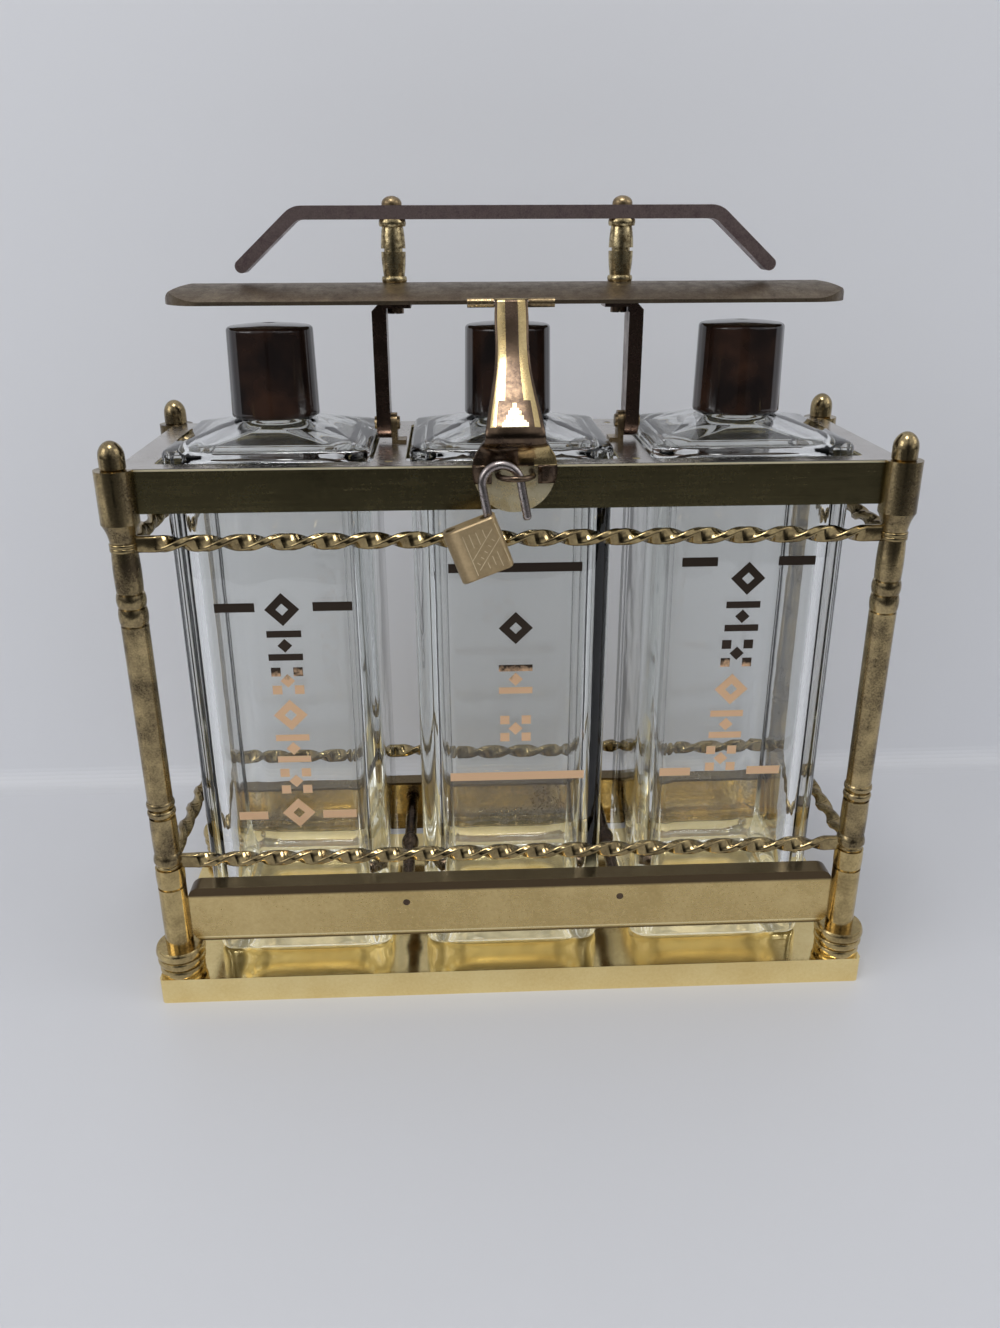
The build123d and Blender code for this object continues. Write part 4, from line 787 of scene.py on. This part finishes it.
def ornament(kind, x, z):
    """One figure of the column as a list of four-cornered patches about (x, z): an open lozenge, a
    full lozenge between two bars, or one among four squares."""
    half, full, square = 6.8, 2.9, 1.9
    if kind == 0:
        outer = lozenge(x, z, half)
        inner = lozenge(x, z, half * 0.36)
        return [[outer[k], outer[(k + 1) % 4], inner[(k + 1) % 4], inner[k]] for k in range(4)]
    if kind == 1:
        bars = [block(x - half, x + half, z + s - 1.4, z + s + 1.4) for s in (-4.9, 4.9)]
        return bars + [lozenge(x, z, full)]
    squares = [block(x + a - square, x + a + square, z + b - square, z + b + square)
               for a in (-4.4, 4.4) for b in (-3.9, 3.9)]
    return squares + [lozenge(x, z, full)]


def gilding(side, bars, column):
    """Gilding on a bottle's front as thin plates: level bars (x from, x to, z) and a column of
    figures between two heights (x at the top, x at the foot, z high, z low, count)."""
    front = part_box(f"decanter_{side}")[0][1]
    proud, sunk, bar_half = 0.12 * MM, 0.02 * MM, 1.85
    patches = [block(x_from, x_to, z - bar_half, z + bar_half) for x_from, x_to, z in bars]
    x_high, x_low, z_high, z_low, count = column
    for i in range(count):
        share = i / (count - 1)
        patches += ornament(i % 3, x_high + share * (x_low - x_high), z_high + share * (z_low - z_high))
    points = []
    faces = []
    for patch in patches:
        base = len(points)
        for depth in (front - proud, front + sunk):
            points += [(x * MM, depth, z * MM) for x, z in patch]
        faces += plate_faces(base)
    return new_piece(f"gilt_{side}", points, faces, GILT, f"decanter_{side}", smooth=False)


for side in SIDES:
    bottle(side)
    cap(side)
gilding("left", [(-116, -100.5, 173.5), (-78, -62.6, 173.5), (-115, -103, 81), (-80, -66, 81)],
        (-90, -90, 172.5, 82, 7))
gilding("middle", [(-25, 27, 188), (-26, 30, 97)], (1.2, 1.2, 163, 119, 3))
gilding("right", [(66, 80, 189), (104, 118.5, 189), (62, 75, 97), (99, 113, 97)], (92.5, 87.5, 182, 103, 6))


# ---------------------------------------------------------------- stage, camera and light
def backdrop():
    """A floor that ends in front like a table and turns up into a wall behind the object; seen from
    its back it lets light through."""
    reach, table_edge, turn_radius, wall = 1.6, -0.62, 0.012, 0.142
    curve = [(table_edge, 0.0), (wall - turn_radius - 0.05, 0.0)]
    curve += [(wall - turn_radius + turn_radius * np.sin(a), turn_radius - turn_radius * np.cos(a))
              for a in np.linspace(0, np.pi / 2, 9)]
    curve += [(wall, 1.2)]
    points = [(x, y, z) for y, z in curve for x in (-reach, reach)]
    faces = [[2 * i, 2 * i + 1, 2 * i + 3, 2 * i + 2] for i in range(len(curve) - 1)]
    mesh = bpy.data.meshes.new("backdrop")
    mesh.from_pydata(points, [], faces)
    mesh.update()
    material, tree, shader, place = new_material("backdrop_paper")
    upright = share_of(tree, height_in(tree, place), 1 * MM, 10 * MM)
    paper = blend_colors(tree, upright, (0.57, 0.575, 0.595, 1), (0.82, 0.83, 0.86, 1))
    tree.links.new(paper, shader.inputs["Base Color"])
    shader.inputs["Roughness"].default_value = 0.35
    shader.inputs["Specular IOR Level"].default_value = 0.35
    behind = tree.nodes.new("ShaderNodeNewGeometry").outputs["Backfacing"]
    clear = tree.nodes.new("ShaderNodeBsdfTransparent")
    either = tree.nodes.new("ShaderNodeMixShader")
    tree.links.new(behind, either.inputs[0])
    tree.links.new(shader.outputs[0], either.inputs[1])
    tree.links.new(clear.outputs[0], either.inputs[2])
    tree.links.new(either.outputs[0], tree.nodes["Material Output"].inputs[0])
    mesh.materials.append(material)
    sheet = bpy.data.objects.new("backdrop", mesh)
    bpy.context.scene.collection.objects.link(sheet)


def camera():
    """The photograph's viewpoint: a place, and a heading, a dip and a roll in degrees."""
    place = Vector((-22.16, -432.67, 310.20)) * MM
    heading, dip, roll = np.radians((2.4776, 22.3775, -0.2133))
    ahead = Vector((np.sin(heading) * np.cos(dip), np.cos(heading) * np.cos(dip), -np.sin(dip)))
    level = Vector((np.cos(heading), -np.sin(heading), 0))
    over = level.cross(ahead)
    right = level * np.cos(roll) + over * np.sin(roll)
    up = over * np.cos(roll) - level * np.sin(roll)
    data = bpy.data.cameras.new("camera")
    data.sensor_fit = "VERTICAL"
    data.sensor_height = 24.0
    focal_pixels, picture_pixels = 1064.08, 1328
    data.lens = data.sensor_height * focal_pixels / picture_pixels
    data.clip_start = 0.01
    seen = bpy.data.objects.new("camera", data)
    turned = Matrix((right, up, -ahead)).transposed().to_4x4()
    seen.matrix_world = Matrix.Translation(place) @ turned
    bpy.context.scene.collection.objects.link(seen)
    bpy.context.scene.camera = seen


def lamp(name, place, size, energy):
    """A square area lamp that faces the object's middle."""
    data = bpy.data.lights.new(name, "AREA")
    data.energy = energy
    data.size = size
    thing = bpy.data.objects.new(name, data)
    thing.location = place
    aim = Vector((0, 0, 0.15)) - Vector(place)
    thing.rotation_euler = aim.to_track_quat("-Z", "Y").to_euler()
    bpy.context.scene.collection.objects.link(thing)


def ramp(tree, value, low, high):
    """A smooth step: 0 below low, 1 above high."""
    node = tree.nodes.new("ShaderNodeMapRange")
    node.interpolation_type = "SMOOTHSTEP"
    node.inputs["From Min"].default_value = low
    node.inputs["From Max"].default_value = high
    tree.links.new(value, node.inputs["Value"])
    return node.outputs["Result"]


def world():
    """A room by direction: a pale ceiling, paler sides, a dim far side in front of the object, and a
    dark figure in the middle of it where the camera stands."""
    room = bpy.data.worlds.new("room")
    bpy.context.scene.world = room
    room.use_nodes = True
    tree = room.node_tree
    parts = tree.nodes.new("ShaderNodeSeparateXYZ")
    tree.links.new(tree.nodes.new("ShaderNodeTexCoord").outputs["Generated"], parts.inputs[0])
    across = maths(tree, "ABSOLUTE", parts.outputs[0])
    ceiling = maths(tree, "MULTIPLY", ramp(tree, parts.outputs[2], 0.15, 0.55), 0.85)
    sides = maths(tree, "MULTIPLY", ramp(tree, across, 0.30, 0.62), 0.66)
    sides = maths(tree, "MULTIPLY", sides, ramp(tree, parts.outputs[2], -0.04, 0.08))
    level = maths(tree, "ADD", maths(tree, "MAXIMUM", ceiling, sides), 0.07)
    figure = maths(tree, "SUBTRACT", 1.0, ramp(tree, across, 0.07, 0.16))
    below_top = maths(tree, "SUBTRACT", 1.0, ramp(tree, parts.outputs[2], 0.84, 0.94))
    figure = maths(tree, "MULTIPLY", maths(tree, "MULTIPLY", figure, below_top), 0.80)
    level = maths(tree, "MULTIPLY", level, maths(tree, "SUBTRACT", 1.0, figure))
    back = tree.nodes["Background"]
    back.inputs["Color"].default_value = (0.93, 0.95, 1.0, 1)
    tree.links.new(maths(tree, "MULTIPLY", level, 0.85), back.inputs["Strength"])


backdrop()
camera()
lamp("ceiling", (-0.10, -0.45, 1.5), 0.45, 7.0)
lamp("window", (-1.3, -0.7, 0.9), 0.8, 4.5)
lamp("second_window", (1.3, -0.4, 1.0), 0.8, 2.5)
world()
bpy.context.scene.view_settings.view_transform = "Standard"
